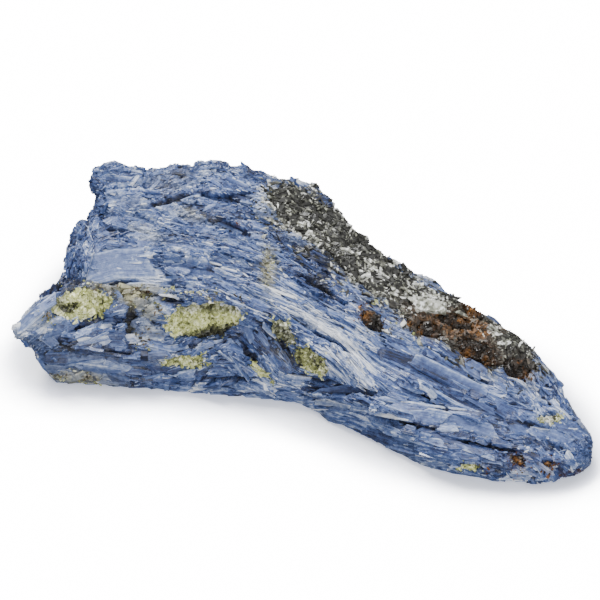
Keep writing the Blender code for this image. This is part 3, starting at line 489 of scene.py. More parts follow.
def new_piece(name, points, faces, values, uv, material, fibre=None):
    """An object at the origin from arrays, with its values as attributes and its map for baking."""
    mesh = bpy.data.meshes.new(name)
    mesh.from_pydata((points * MM).astype(np.float32), [], faces)
    for key, value in values.items():
        attribute = mesh.attributes.new(key, "FLOAT", "POINT")
        attribute.data.foreach_set("value", np.asarray(value, np.float32))
    for key, layout in (("OFBake", uv), ("Fibre", fibre)):
        if layout is not None:
            layer = mesh.uv_layers.new(name=key, do_init=False)
            layer.data.foreach_set("uv", np.asarray(layout, np.float32).ravel())
    mesh.polygons.foreach_set("use_smooth", np.zeros(len(mesh.polygons), bool))
    mesh.materials.append(material)
    mesh.update()
    obj = bpy.data.objects.new(name, mesh)
    bpy.context.scene.collection.objects.link(obj)
    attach(obj, "root")
    return obj


def cell_map(count, margin=0.12):
    """A map with a square cell of its own for each quad: corner places inset by the margin."""
    columns = math.ceil(math.sqrt(count))
    column, row = np.arange(count) % columns, np.arange(count) // columns
    inset = np.array(((0, 0), (1, 0), (1, 1), (0, 1))) * (1 - 2 * margin) + margin
    return (np.stack([column, row], axis=1)[:, None] + inset) / columns


def map_cells(count, wide):
    """The corner of each solid's cell in a map, and the numbers of columns and lines.

    Cells are wide times as wide as high, so there are sqrt(count / wide) columns.
    """
    columns = max(1, round(math.sqrt(count / wide)))
    origin = np.stack([np.arange(count) % columns, np.arange(count) // columns], axis=1)
    return origin[:, None, None], np.array((columns, math.ceil(count / columns)))


def strip_map(count, rows):
    """A map with a cell for each solid, cut into one strip for each of its faces.

    rows gives each face's (low, high) share of its cell's height.
    """
    origin, size = map_cells(count, 2.4)
    low = np.array([row[0] for row in rows])
    high = np.array([row[1] for row in rows])
    x = np.array((0.03, 0.97, 0.97, 0.03))
    cell = np.stack(
        [np.broadcast_to(x, (len(rows), 4)), np.stack([low, low, high, high], axis=1)], axis=2
    )
    return (origin + cell) / size


# Small crystals in bulk

LATH_CORNERS = np.array([(x, y, z) for z in (-1, 1) for x, y in ((-1, -1), (1, -1), (1, 1), (-1, 1))], float) / 2
LATH_FACES = np.array(((4, 5, 6, 7), (3, 2, 1, 0), (0, 1, 5, 4), (2, 3, 7, 6), (1, 2, 6, 5), (3, 0, 4, 7)))
LATH_ROWS = ((0.38, 0.98), (0.0, 0.04), (0.06, 0.16), (0.18, 0.28), (0.29, 0.33), (0.34, 0.37))


def laths(place, along, normal, length, width, thick, rng, taper=0.75):
    """Corner points of many laths.

    A lath is a box with its top narrower than its bottom, and with ends cut askew:
    p = place + x * length * along + y * width * across + z * thick * normal, for x, y, z of the corners,
    where y is narrowed by the taper at the top and by chance at the ends, and x is skewed by y.
    """
    count = len(place)
    across = np.cross(normal, along)
    corner = np.broadcast_to(LATH_CORNERS, (count, 8, 3)).copy()
    top = corner[:, :, 2] > 0
    corner[:, :, 1] *= np.where(top, taper, 1.0)
    corner[:, :, 0] *= np.where(top, 0.94, 1.0)
    for end in (-1, 1):
        at_end = corner[:, :, 0] * end > 0
        narrow = rng.uniform(0.25, 1.0, (count, 1))
        skew = rng.uniform(-1.3, 1.3, (count, 1)) * (width / length)[:, None]
        corner[:, :, 0] += np.where(at_end, skew * corner[:, :, 1], 0)
        corner[:, :, 1] *= np.where(at_end, narrow, 1.0)
    sized = corner * np.stack([length, width, thick], axis=1)[:, None]
    axes = np.stack([along, across, normal], axis=1)
    return place[:, None] + sized @ axes, sized


def lath_piece(name, place, along, normal, length, width, thick, values, material, rng, taper=0.75):
    """One piece that holds many laths, with a strip of the map for each face."""
    corners, sized = laths(place, along, normal, length, width, thick, rng, taper)
    corners[:, :, 2] = np.maximum(corners[:, :, 2], CLEARANCE)
    count = len(place)
    faces = (np.arange(count)[:, None, None] * 8 + LATH_FACES).reshape(-1, 4)
    spread = {key: np.repeat(value, 8) for key, value in values.items()}
    chance = rng.uniform(0, OWN_PLACE, (count, 1, 2))
    flat = (sized[:, :, :2] + chance)[:, LATH_FACES]
    return new_piece(
        name, corners.reshape(-1, 3), faces, spread, strip_map(count, LATH_ROWS), material, fibre=flat
    )


def ribbon_map(count, sections, sides):
    """A map with a cell for each ribbon, cut into strips for its long sides, and small squares for its ends."""
    origin, size = map_cells(count, 2.0)
    top = 2 if sides == 4 else 3
    share = np.where(np.arange(sides) == top, 0.56, 0.34 / (sides - 1))
    low = 0.02 + np.concatenate([[0], np.cumsum(share + 0.08 / sides)[:-1]])
    cells = []
    for side in range(sides):
        reach = 0.6 if side == 0 else 0.96
        for k in range(sections - 1):
            x0, x1 = (0.02 + reach * (k + s) / (sections - 1) for s in (0, 1))
            y0, y1 = low[side], low[side] + share[side]
            cells.append(((x0, y0), (x0, y1), (x1, y1), (x1, y0)))
    ends = sides - 2
    for k in range(ends):
        x0, x1 = 0.66 + 0.32 * k / ends, 0.66 + 0.32 * (k + 0.8) / ends
        cells.append(((x0, low[0]), (x1, low[0]), (x1, low[0] + share[0]), (x0, low[0] + share[0])))
    return (origin + np.array(cells)) / size


def ribbon_piece(name, places, facing, length, width, thick, rise, roll, rng, values, material, rim=0.0):
    """One piece that holds many blades, each a strip that follows its path.

    At each section the corners are p + y * across + z * normal: the bottom at z = -thick, and the top at
    z = rise, lifted on one side and lowered on the other by roll. y narrows towards the ends by chance,
    and the ends are cut askew. With a rim there are two more corners, and the top's edges are paler by it.
    """
    count, sections = places.shape[:2]
    along = np.gradient(places, axis=1)
    along /= np.maximum(np.linalg.norm(along, axis=2, keepdims=True), 1e-9)
    across = np.cross(facing, along)
    across /= np.maximum(np.linalg.norm(across, axis=2, keepdims=True), 1e-9)
    place = np.linspace(-1, 1, sections)[None]

    def from_middle(ends):
        """1 in the middle and each end's own share at that end, as 1 - (1 - share) * place^4."""
        return 1 - (1 - np.where(place < 0, ends[:, :1], ends[:, 1:])) * place**4

    half = width[:, None] * from_middle(rng.uniform(0.45, 1.0, (count, 2))) / 2
    high = rise[:, None] * from_middle(rng.uniform(0.2, 1.1, (count, 2)))
    lift = roll[:, None] * half
    deep = np.broadcast_to(-thick[:, None], half.shape)
    if rim:
        shape, pale = (-1.1, 1.1, 0.98, 0.74, -0.74, -0.98), (0, 0, 1, 0, 0, 1)
        low, small = high * 0.8, lift * 0.8
        z = np.stack([deep, deep, low + lift, high + small, high - small, low - lift], axis=2)
        caps = ((0, 1, 2, 5), (5, 2, 3, 4))
    else:
        shape, pale = (-1.1, 1.1, 0.86, -0.86), (0, 0, 0, 0)
        z = np.stack([deep, deep, high + lift, high - lift], axis=2)
        caps = ((0, 1, 2, 3),)
    sides = len(shape)
    y = half[:, :, None] * np.array(shape)
    skew = np.zeros((count, sections, sides))
    for end in (0, -1):
        skew[:, end] = rng.uniform(-1.2, 1.2, (count, 1)) * y[:, end]
    corners = (
        places[:, :, None] + y[..., None] * across[:, :, None] + z[..., None] * facing[:, :, None]
        + skew[..., None] * along[:, :, None]
    )
    corners[..., 2] = np.maximum(corners[..., 2], CLEARANCE)
    k, n = np.arange(sides), np.arange(sections - 1)
    walls = np.stack([
        n[None] * sides + k[:, None], n[None] * sides + (k[:, None] + 1) % sides,
        (n[None] + 1) * sides + (k[:, None] + 1) % sides, (n[None] + 1) * sides + k[:, None],
    ], axis=2).reshape(-1, 4)
    last = (sections - 1) * sides
    faces = np.vstack([walls, [cap[::-1] for cap in caps], np.array(caps) + last])
    run = np.broadcast_to(np.linspace(0, 1, sections)[None, :, None], y.shape) * length[:, None, None]
    fibre = np.stack([run, y], axis=3).reshape(count, -1, 2) + rng.uniform(0, OWN_PLACE, (count, 1, 2))
    spread = {key: np.repeat(value, sections * sides) for key, value in values.items()}
    frost = rng.normal(size=(count, 1, 1)) * 0.09 * np.sign(shape) + rim * np.array(pale)
    frost = np.broadcast_to(frost, (count, sections, sides)).copy()
    frost[:, [0, -1]] += rng.uniform(-0.08, 0.16, (count, 2, 1)) + rim * 0.3
    spread["tone"] = np.clip(spread["tone"] + frost.ravel(), 0, 1)
    all_faces = (np.arange(count)[:, None, None] * sections * sides + faces).reshape(-1, 4)
    return new_piece(
        name, corners.reshape(-1, 3), all_faces, spread, ribbon_map(count, sections, sides), material,
        fibre=fibre[:, faces],
    )


def turned(vectors, axis, angle):
    """Vectors turned about a unit axis that is square to them."""
    return vectors * np.cos(angle)[:, None] + np.cross(axis, vectors) * np.sin(angle)[:, None]


def by_chance(rng, count):
    """Two unit vectors for each piece, square to each other and in any direction."""
    first = unit(rng.normal(size=(count, 3)))
    second = rng.normal(size=(count, 3))
    second -= (second * first).sum(axis=1)[:, None] * first
    return first, unit(second)


# Colour


def in_ellipses(points, table, sharpness=1.5):
    """How far each point is inside each soft ellipse, as exp(-(u^2 + v^2)^sharpness) in the seen plane.

    u and v are the distances along and across the ellipse, each over its half length.
    """
    right, up = seen(points)
    rows = np.array([row[:5] for row in table], float)
    c, s = np.cos(np.radians(rows[:, 4])), np.sin(np.radians(rows[:, 4]))
    x, y = right[:, None] - rows[:, 0], up[:, None] - rows[:, 1]
    return np.exp(-((((x * c - y * s) / rows[:, 2]) ** 2 + ((x * s + y * c) / rows[:, 3]) ** 2) ** sharpness))


def patch_sums(points, table):
    """The two changes that a table's soft ellipses add up to at points."""
    share, rows = in_ellipses(points, table), np.array(table, float)
    return share @ rows[:, 5], share @ rows[:, 6]


def stain_values(points, normals):
    """Rust at points: 1 at the middle of a stain, falling off as exp(-(distance / reach)^2)."""
    right, up = seen(points)
    rust = np.zeros(len(points))
    for at_right, at_up, reach in STAINS:
        rust = np.maximum(rust, np.exp(-((right - at_right) ** 2 + (up - at_up) ** 2) / reach**2))
    return rust * (normals @ EYE > 0.05)


def kyanite_values(points, normals, to_schist):
    """Tone, warmth, rust and schist dust for kyanite at points.

    The tone is the habit's, with the patches, painted shade in the clefts and cloudy noise added. Dust
    falls off with the distance to the schist, in cloudy patches.
    """
    base = habits_at(points)[:, TONE]
    tone, warm = patch_sums(points, PATCHES)
    front = np.clip((normals @ EYE) * 4, 0, 1)
    cloud = noise(points, 6.0, 11) * 0.09 + noise(points, 2.4, 12) * 0.05
    dust = np.exp(-((to_schist / 2.0) ** 1.4)) * np.clip(0.5 + noise(points, 1.4, 13) * 0.9, 0, 1)
    return {
        # Painted shade: the clefts are darkened where they face the eye.
        "tone": base + (tone - 0.55 * in_ellipses(points, CLEFTS).max(axis=1)) * front + cloud,
        "warm": np.clip(warm * front + np.clip(noise(points, 9.0, 14) - 0.5, 0, 1) * (1 - front), 0, 1),
        "rust": stain_values(points, normals) * 0.3,
        "dust": dust,
    }


def schist_values(points, normals, base):
    """Tone and rust of the schist at points: the base with soft ellipses and noise."""
    tone, rust = patch_sums(points, SCHIST_PATCHES)
    return {
        "tone": np.clip(base + tone + noise(points, 2.6, 23) * 0.15, 0, 1),
        "rust": np.clip(stain_values(points, normals) * 0.8 + rust, 0, 1),
    }


def crust_values(points, base, cloud):
    """Tone, greyness and rust of the mica at points: the crusts' own, with soft ellipses and noise."""
    tone, grey = patch_sums(points, CRUST_PATCHES)
    return {
        "tone": np.clip(base + tone + noise(points, 2.2, 32) * cloud, 0, 1),
        "grey": np.clip(0.06 + grey + noise(points, 3.0, 34) * 0.25, 0, 1),
        "rust": np.zeros(len(points)),
    }


# Finishes


def node_group(name, outputs, inputs=()):
    """An empty node group with the given sockets, as (name, type, default)."""
    group = bpy.data.node_groups.new(name, "ShaderNodeTree")
    for label, kind, default in inputs:
        socket = group.interface.new_socket(label, in_out="INPUT", socket_type=kind)
        if default is not None:
            socket.default_value = default
    for label, kind in outputs:
        group.interface.new_socket(label, in_out="OUTPUT", socket_type=kind)
    return group, group.nodes.new("NodeGroupInput"), group.nodes.new("NodeGroupOutput")


def add(tree, kind, links=(), **settings):
    """A node with its settings, and its inputs set to values or linked to sockets."""
    node = tree.nodes.new(kind)
    for key, value in settings.items():
        setattr(node, key, value)
    for key, value in dict(links).items():
        if isinstance(value, bpy.types.NodeSocket):
            tree.links.new(value, node.inputs[key])
        else:
            node.inputs[key].default_value = value
    return node


def ramp_of(tree, factor, stops):
    """The colour at the factor, between stops of (place, colour)."""
    node = add(tree, "ShaderNodeValToRGB", {"Fac": factor})
    elements = node.color_ramp.elements
    while len(elements) < len(stops):
        elements.new(0.5)
    for element, (place, colour) in zip(elements, stops):
        element.position = place
        element.color = (*colour, 1.0)
    return node.outputs["Color"]


def sum_of(tree, first, second, clamp=False):
    """first + second, kept from 0 to 1 with clamp."""
    return add(tree, "ShaderNodeMath", {0: first, 1: second}, operation="ADD", use_clamp=clamp).outputs[0]


def scaled(tree, socket, factor, shift):
    """socket * factor + shift."""
    return add(tree, "ShaderNodeMath", {0: socket, 1: factor, 2: shift}, operation="MULTIPLY_ADD").outputs[0]


def mix_of(tree, factor, first, second):
    """The first colour at factor 0 and the second at factor 1."""
    node = tree.nodes.new("ShaderNodeMix")
    node.data_type = "RGBA"
    for key, value in ((0, factor), (6, first), (7, second)):
        if isinstance(value, bpy.types.NodeSocket):
            tree.links.new(value, node.inputs[key])
        else:
            node.inputs[key].default_value = value if key == 0 else (*value, 1.0)
    return node.outputs[2]


def shades(tree, cells, colour, dark, light):
    """The colour times a number for each grain, from dark to light."""
    return mix_of(tree, cells.outputs["Value"], tuple(c * dark for c in colour), tuple(c * light for c in colour))


def fibre_group():
    """Streaks along a blade, and frost: noise that is long along the Fibre map's first axis, and cloudy noise."""
    group, given, made = node_group(
        "Fibres", [("Streak", "NodeSocketFloat"), ("Fine", "NodeSocketFloat"), ("Frost", "NodeSocketFloat")],
        [("Along", "NodeSocketFloat", 0.35), ("Across", "NodeSocketFloat", 5.0)],
    )
    place = add(group, "ShaderNodeUVMap", uv_map="Fibre")
    scale = add(
        group, "ShaderNodeCombineXYZ", {"X": given.outputs["Along"], "Y": given.outputs["Across"], "Z": 1.0}
    )
    stretched = add(
        group, "ShaderNodeVectorMath", {0: place.outputs["UV"], 1: scale.outputs[0]}, operation="MULTIPLY"
    )
    wide = add(group, "ShaderNodeTexNoise", {"Vector": stretched.outputs[0], "Scale": 0.5, "Detail": 2.0})
    fine = add(group, "ShaderNodeTexNoise", {"Vector": stretched.outputs[0], "Scale": 2.0, "Detail": 3.0})
    where = add(group, "ShaderNodeTexCoord").outputs["Object"]
    cloud = add(
        group, "ShaderNodeTexNoise", {"Vector": where, "Scale": 1100.0, "Detail": 4.0, "Roughness": 0.65}
    )
    group.links.new(cloud.outputs["Fac"], made.inputs["Frost"])
    group.links.new(wide.outputs["Fac"], made.inputs["Streak"])
    group.links.new(fine.outputs["Fac"], made.inputs["Fine"])
    return group


def grain_group():
    """Grains in the rock: a number for each cell."""
    group, given, made = node_group("Grains", [("Value", "NodeSocketFloat")], [("Size", "NodeSocketFloat", 1200.0)])
    place = add(group, "ShaderNodeTexCoord")
    cells = add(group, "ShaderNodeTexVoronoi", {"Vector": place.outputs["Object"], "Scale": given.outputs["Size"]})
    value = add(group, "ShaderNodeSeparateColor", {"Color": cells.outputs["Color"]})
    group.links.new(value.outputs["Red"], made.inputs["Value"])
    return group


def start_material(name):
    """A new material, its nodes and its shader."""
    made = bpy.data.materials.new(name)
    made.use_nodes = True
    tree = made.node_tree
    return made, tree, tree.nodes["Principled BSDF"]


def attribute(tree, name):
    """A value that the piece's points carry."""
    return add(tree, "ShaderNodeAttribute", attribute_name=name).outputs["Fac"]


def kyanite_material(name, fibres, grains, roughness, relief, streak):
    """Blue crystal: the tone sets the blue, streaks vary it, and warmth and rust stain it."""
    made, tree, shader = start_material(name)
    streaks = add(tree, "ShaderNodeGroup", node_tree=fibres)
    cells = add(tree, "ShaderNodeGroup", node_tree=grains)
    wide = scaled(tree, streaks.outputs["Streak"], streak, -streak / 2)
    fine = scaled(tree, streaks.outputs["Fine"], streak * 0.7, -streak * 0.35)
    frost = scaled(tree, streaks.outputs["Frost"], 0.7, -0.35)
    tone = sum_of(tree, attribute(tree, "tone"), sum_of(tree, sum_of(tree, wide, fine), frost), clamp=True)
    blue = ramp_of(tree, tone, KYANITE_RAMP)
    sandy = mix_of(tree, attribute(tree, "warm"), blue, shades(tree, cells, settings().sand, 0.35, 1.7))
    colour = mix_of(tree, attribute(tree, "rust"), sandy, shades(tree, cells, settings().rust, 0.3, 1.6))
    grey = ramp_of(tree, cells.outputs["Value"], SCHIST_RAMP)
    tree.links.new(mix_of(tree, attribute(tree, "dust"), colour, grey), shader.inputs["Base Color"])
    rough = scaled(tree, streaks.outputs["Fine"], 0.3, roughness - 0.15)
    tree.links.new(rough, shader.inputs["Roughness"])
    bump = add(
        tree, "ShaderNodeBump", {"Height": streaks.outputs["Fine"], "Strength": relief, "Distance": 0.0002}
    )
    tree.links.new(bump.outputs[0], shader.inputs["Normal"])
    shader.inputs["IOR"].default_value = 1.62
    return made


def grain_material(name, grains, stops, roughness, size, mixing, grey=False):
    """A granular finish: the tone sets the colour, and cells of the grain size vary it by the mixing."""
    made, tree, shader = start_material(name)
    cells = add(tree, "ShaderNodeGroup", {"Size": size}, node_tree=grains)
    shift = scaled(tree, cells.outputs["Value"], mixing, -mixing / 2)
    tone = sum_of(tree, attribute(tree, "tone"), shift, clamp=True)
    base = ramp_of(tree, tone, stops)
    if grey:
        base = mix_of(tree, attribute(tree, "grey"), base, ramp_of(tree, tone, SCHIST_RAMP))
    rust = shades(tree, cells, settings().rust, 0.3, 2.0)
    tree.links.new(mix_of(tree, attribute(tree, "rust"), base, rust), shader.inputs["Base Color"])
    rough = scaled(tree, cells.outputs["Value"], 0.2, roughness - 0.1)
    tree.links.new(rough, shader.inputs["Roughness"])
    return made


def finishes():
    """The finishes, made once."""
    if "Kyanite blades" not in bpy.data.materials:
        fibres, grains = fibre_group(), grain_group()
        kyanite_material("Kyanite blades", fibres, grains, 0.30, 0.6, 0.65)
        kyanite_material("Kyanite mass", fibres, grains, 0.40, 0.8, 0.45)
        grain_material("Schist", grains, SCHIST_RAMP, 0.50, 2200.0, 0.5)
        grain_material("Mica crust", grains, MICA_RAMP, 0.45, 2600.0, 0.35, grey=True)
        grain_material("Garnet", grains, GARNET_RAMP, 0.42, 1800.0, 0.35)
    return bpy.data.materials


# The add-on


class SpecimenSettings(bpy.types.PropertyGroup):
    """What can be set before the pieces are built"""

    seed: bpy.props.IntProperty(name="Seed", description="Starts every chance choice", default=5)
    skin_cell: bpy.props.FloatProperty(
        name="Skin cell", description="Cell size of the kyanite's skin in mm", default=0.40, min=0.2
    )
    plates: bpy.props.IntProperty(name="Plates", description="Number of large plates in the skin", default=330)
    ledges: bpy.props.IntProperty(name="Ledges", description="Number of flat ledges in the skin", default=2600)
    blades: bpy.props.IntProperty(name="Blades", description="Number of long blades", default=4400)
    splinters: bpy.props.IntProperty(
        name="Splinters", description="Number of splinters in each batch", default=9500
    )
    flakes: bpy.props.IntProperty(name="Flakes", description="Number of flakes on the schist", default=12000)
    sugar: bpy.props.IntProperty(name="Sugar", description="Number of grains on the mica crusts", default=11000)
    rust_grains: bpy.props.IntProperty(name="Rust grains", description="Number of rusty grains", default=2600)
    sand: bpy.props.FloatVectorProperty(
        name="Sand", description="Colour of the sandy seams", subtype="COLOR", default=(0.235, 0.225, 0.135)
    )
    rust: bpy.props.FloatVectorProperty(
        name="Rust", description="Colour of the rusty stains", subtype="COLOR", default=(0.175, 0.074, 0.015)
    )
    light: bpy.props.FloatProperty(
        name="Light", description="Strength of the key light", unit="POWER", default=13.0
    )


# What later operators need of earlier ones: skins, distances and masks at the kyanite's points.
_made = {}


def settings():
    """The scene's settings for the specimen."""
    return bpy.context.scene.specimen


def inclusions():
    """Points on the crusts, garnets and schist, for keeping blades off them."""
    if "inclusions" not in _made:
        _made["inclusions"] = skin((*MICA_NODES, *GARNET_NODES, "schist"), ROUGH_CELL)[0]
    return _made["inclusions"]


def ledge_relief(points, normals, rng, count, long, wide, high, groove):
    """How far each point moves out to break the skin into ledges that follow the grain.

    Each ledge has a seed. A point belongs to the ledge whose seed is nearest when distances along the
    grain count for less than across it, and it moves by that ledge's height and slant. Close to the next
    ledge it sinks by the groove, by how nearly the two nearest are equal. Its tint is the ledge's own random
    tone and a paler rim on the higher side of a step, with painted shade on the lower side and in the groove.
    """
    chosen = rng.choice(len(points), count, replace=False)
    seeds = points[chosen]
    along = grain_direction(seeds, normals[chosen], rng.normal(size=count) * 0.10)
    across = np.cross(normals[chosen], along)
    habit = habits_at(seeds)
    length = habit[:, LENGTH] * long * rng.uniform(0.7, 1.6, count)
    width = habit[:, WIDTH] * wide * rng.uniform(0.7, 1.5, count)
    height, slant = rng.normal(size=count) * high, rng.normal(size=count) * high * 0.7
    move, tint, fibre = np.empty(len(points)), np.empty(len(points)), np.empty((len(points), 2))
    shade = rng.normal(size=count)
    chance = rng.uniform(0, OWN_PLACE, (count, 2))
    square, reach = (seeds**2).sum(axis=1), (seeds * along).sum(axis=1)
    for start in range(0, len(points), BATCH):
        part = slice(start, start + BATCH)
        here = points[part]
        far = (here**2).sum(axis=1)[:, None] + square - 2 * here @ seeds.T
        run = here @ along.T - reach
        score = run**2 / length**2 + (far - run**2) / width**2
        two = np.argpartition(score, 1, axis=1)[:, :2]
        value = np.take_along_axis(score, two, axis=1)
        swap = value[:, 0] > value[:, 1]
        two[swap] = two[swap][:, ::-1]
        value = np.sqrt(np.maximum(np.sort(value, axis=1), 0))
        best = two[:, 0]
        side = ((here - seeds[best]) * across[best]).sum(axis=1)
        edge = np.exp(-(((value[:, 1] - value[:, 0]) / 0.16) ** 2))
        move[part] = height[best] + slant[best] * np.clip(side / width[best] * 2, -2, 2) - edge * groove
        above = np.clip((height[best] - height[two[:, 1]]) / high, -1, 1)
        # The ledge's own random tone and a paler rim on the higher side of a step, plus painted shade: darker on
        # the lower side of a step and in the groove.
        tint[part] = shade[best] * 0.09 + edge * (above * 0.10 - groove * 0.3)
        fibre[part, 0] = run[np.arange(len(here)), best] + chance[best, 0]
        fibre[part, 1] = side + chance[best, 1]
    return move, tint, fibre


class SPECIMEN_OT_kyanite(bpy.types.Operator):
    """Builds the mass of kyanite as a fine skin, broken into ledges along the grain"""

    bl_idname = "specimen.kyanite"
    bl_label = "Kyanite mass"

    def execute(self, context):
        rng = np.random.default_rng(settings().seed)
        points, quads = skin(("kyanite",), settings().skin_cell)
        normals = point_normals(points, quads, 3)
        move, tint, fibre = ledge_relief(
            points, normals, rng, settings().ledges, long=1.0, wide=2.4, high=0.13, groove=0.08
        )
        plate_move, plate_tint, _ = ledge_relief(
            points, normals, rng, settings().plates, long=1.7, wide=7.0, high=0.34, groove=0.26
        )
        move, tint = move + plate_move, tint + plate_tint
        grain = grain_direction(points, normals)
        table = next_to(quads, len(points))
        fine = streaked(rng.normal(size=len(points)), (points, table, normals, grain), 8)
        broad = streaked(noise(points, 1.1, 5), (points, table, normals, grain), 14)
        flat = in_ellipses(points, SMOOTH, 3.0).max(axis=1)
        cleft = in_ellipses(points, CLEFTS).max(axis=1) * (normals @ EYE > 0)
        # Broad faces move and vary less.
        move = move * (1 - 0.6 * flat) + fine * (0.06 - 0.03 * flat) + broad * 0.16
        near = nearest(points, inclusions())
        to_mica = nearest(points, skin(MICA_NODES, ROUGH_CELL)[0])
        to_schist = nearest(points, skin(("schist",), 0.6)[0])
        # Next to inclusions little moves, but a rim stands up round the crusts. Clefts are a millimetre deep.
        move *= np.clip((near - 0.2) / 0.8, 0.15, 1)
        rim = np.exp(-(((to_mica - 0.9) / 0.6) ** 2))
        move += rim * (0.3 + noise(points, 1.8, 6) * 0.2) - cleft * np.clip(near, 0, 1)
        # Close to the floor nothing moves outwards.
        under = np.clip(points[:, 2] / 1.2, 0, 1)
        move = np.where(under < 1, np.minimum(move, 0) * (1 - under) * 0.5 + move * under, move)
        values = kyanite_values(points, normals, to_schist)
        tint = tint * (1 - 0.5 * flat)
        # Painted shade: the kyanite darkens close to the crusts, which lie in pockets.
        values["tone"] -= 0.16 * np.exp(-((to_mica / 0.5) ** 2))
        # The ledges' tone, with painted shade in their grooves and on the lower side of steps, goes into the mass's
        # tone.
        values["tone"] = np.clip(values["tone"] + tint + fine * 0.05 + broad * 0.05 - 0.04, 0, 1)
        moved = points + normals * move[:, None]
        moved[:, 2] = np.maximum(moved[:, 2], 0.0)
        _made["kyanite"] = (moved, quads, point_normals(moved, quads, 4), near)
        _made["grain"] = (moved, table, _made["kyanite"][2], grain)
        wider = [(row[0], row[1], row[2] + 1, row[3] + 1.4, row[4]) for row in CLEFTS]
        beside = in_ellipses(points, wider).max(axis=1) * (normals @ EYE > 0)
        _made.update(to_schist=to_schist, flat=flat, cleft=cleft, tint=tint, beside=beside)
        piece = new_piece(
            "kyanite_mass", moved, quads, values, cell_map(len(quads)),
            finishes()["Kyanite mass"], fibre=fibre[quads],
        )
        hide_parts("kyanite")
        return {"FINISHED"}


class SPECIMEN_OT_blades(bpy.types.Operator):
    """Lays blades and splinters of kyanite on the mass, along the grain"""

    bl_idname = "specimen.blades"
    bl_label = "Kyanite blades"

    def execute(self, context):
        self.lay("kyanite_plates", 1, settings().plates * 3, "plates")
        self.lay("kyanite_blades", 2, settings().blades, "blades")
        for batch in (1, 2):
            self.lay(f"kyanite_splinters_{batch}", 100 + batch, settings().splinters, "splinters")
        self.singles()
        return {"FINISHED"}

    def lay(self, name, seed, count, kind):
        """One piece of broad plates, long blades or short splinters, spread by chance."""
        points, _, normals, near = _made["kyanite"]
        rng = np.random.default_rng(settings().seed + seed)
        thickly = habits_at(points)[:, COVER]
        # Crystals start off the inclusions, out of the clefts and above the floor.
        keep = np.clip((near - 0.1 + noise(points, 1.2, 51) * 0.5) / 0.5, 0, 1) * (points[:, 2] > 0.4)
        keep = keep * np.clip(1 - 1.3 * _made["cleft"], 0, 1)
        if kind == "plates":
            keep = keep * (1.15 - thickly) * (near > 1.0)
        else:
            keep = keep * thickly * (1 - 0.85 * _made["flat"])
        index = rng.choice(len(points), count, p=keep / keep.sum())
        place, normal = points[index], normals[index]
        habit = habits_at(place)
        stray = np.radians(habit[:, STRAY]) * np.clip(rng.normal(size=count), -1.8, 1.8)
        length = habit[:, LENGTH] * np.exp(rng.normal(size=count) * 0.4)
        width = habit[:, WIDTH] * np.exp(rng.normal(size=count) * 0.4)
        values = kyanite_values(place, normal, _made["to_schist"][index])
        # Blades take the tone of the ledge under them, with its painted groove shade.
        tone = values["tone"] + _made["tint"][index] + rng.normal(size=count) * 0.09
        rise = rng.uniform(0.03, 0.28, count)
        if kind == "plates":
            width, roll = width * 2.6, rng.normal(size=count) * 0.12
            tone += rng.normal(size=count) * 0.06 - 0.04
            tone = np.maximum(tone, habit[:, TONE] - 0.12)
            values["dust"] = values["dust"] * 0.3
        elif kind == "blades":
            roll = rng.normal(size=count) * 0.22
        else:
            length, width = length * 0.45, width * rng.uniform(0.45, 1.0, count)
            roll = rng.normal(size=count) * 0.35
        if kind != "plates":
            # One in five is a thin white sliver, and one in eight a thin flat dark strip that paints the shade of a
            # slit between blades.
            chance = rng.uniform(size=count)
            white, slit_shade = chance > 0.80, (chance > 0.64) & (chance < 0.76)
            width = np.where(white | slit_shade, rng.uniform(0.12, 0.24, count), width)
            length = np.where(white, length * rng.uniform(0.2, 1.0, count), length)
            tone += white * rng.uniform(0.12, 0.42, count) - slit_shade * rng.uniform(0.15, 0.4, count)
            rise = np.where(slit_shade, 0.02, rise)
        # Crystals are shorter near inclusions, beside clefts and on sandy seams.
        length = np.minimum(np.clip(length, 0.6, 15.0), 0.9 + 5 * near[index]) * (1 - 0.65 * _made["beside"][index])
        length = length * (1 - 0.6 * values["warm"])
        width = np.minimum(width, length * 0.6)
        values["tone"] = np.clip(tone, 0, 1)
        places, facing, gap = paths(_made["grain"], index, stray, length, 3 if kind == "splinters" else 5, 6)
        kept = gap < LOOSE
        values = {key: value[kept] for key, value in values.items()}
        parts = (places, facing, length, width, rise, roll)
        places, facing, length, width, rise, roll = (part[kept] for part in parts)
        ribbon_piece(
            name, places, facing, length, width, np.full(len(length), ROOT), rise, roll, rng, values,
            finishes()["Kyanite blades"], rim=0.16 if kind == "plates" else 0.0,
        )

    def singles(self):
        """One piece of the crystals that stand out, each where it is seen."""
        points, _, normals, _ = _made["kyanite"]
        rng = np.random.default_rng(settings().seed + 150)
        table = np.array(SINGLES, float)
        index = seen_points(points, normals, table)
        wanted = in_surface(np.radians(table[:, 2]), normals[index])
        grain = _made["grain"][3][index]
        stray = np.arctan2((np.cross(grain, wanted) * normals[index]).sum(axis=1), (grain * wanted).sum(axis=1))
        length, width, rise = table[:, 3], table[:, 4], table[:, 5]
        values = kyanite_values(points[index], normals[index], _made["to_schist"][index])
        values["tone"] = table[:, 6]
        values["warm"] = values["warm"] * 0.3
        places, facing, _ = paths(_made["grain"], index, stray, length, 5, 6)
        ribbon_piece(
            "kyanite_singles", places, facing, length, width, np.full(len(table), 0.4), rise,
            rng.normal(size=len(table)) * 0.12, rng, values, finishes()["Kyanite mass"], rim=0.2,
        )


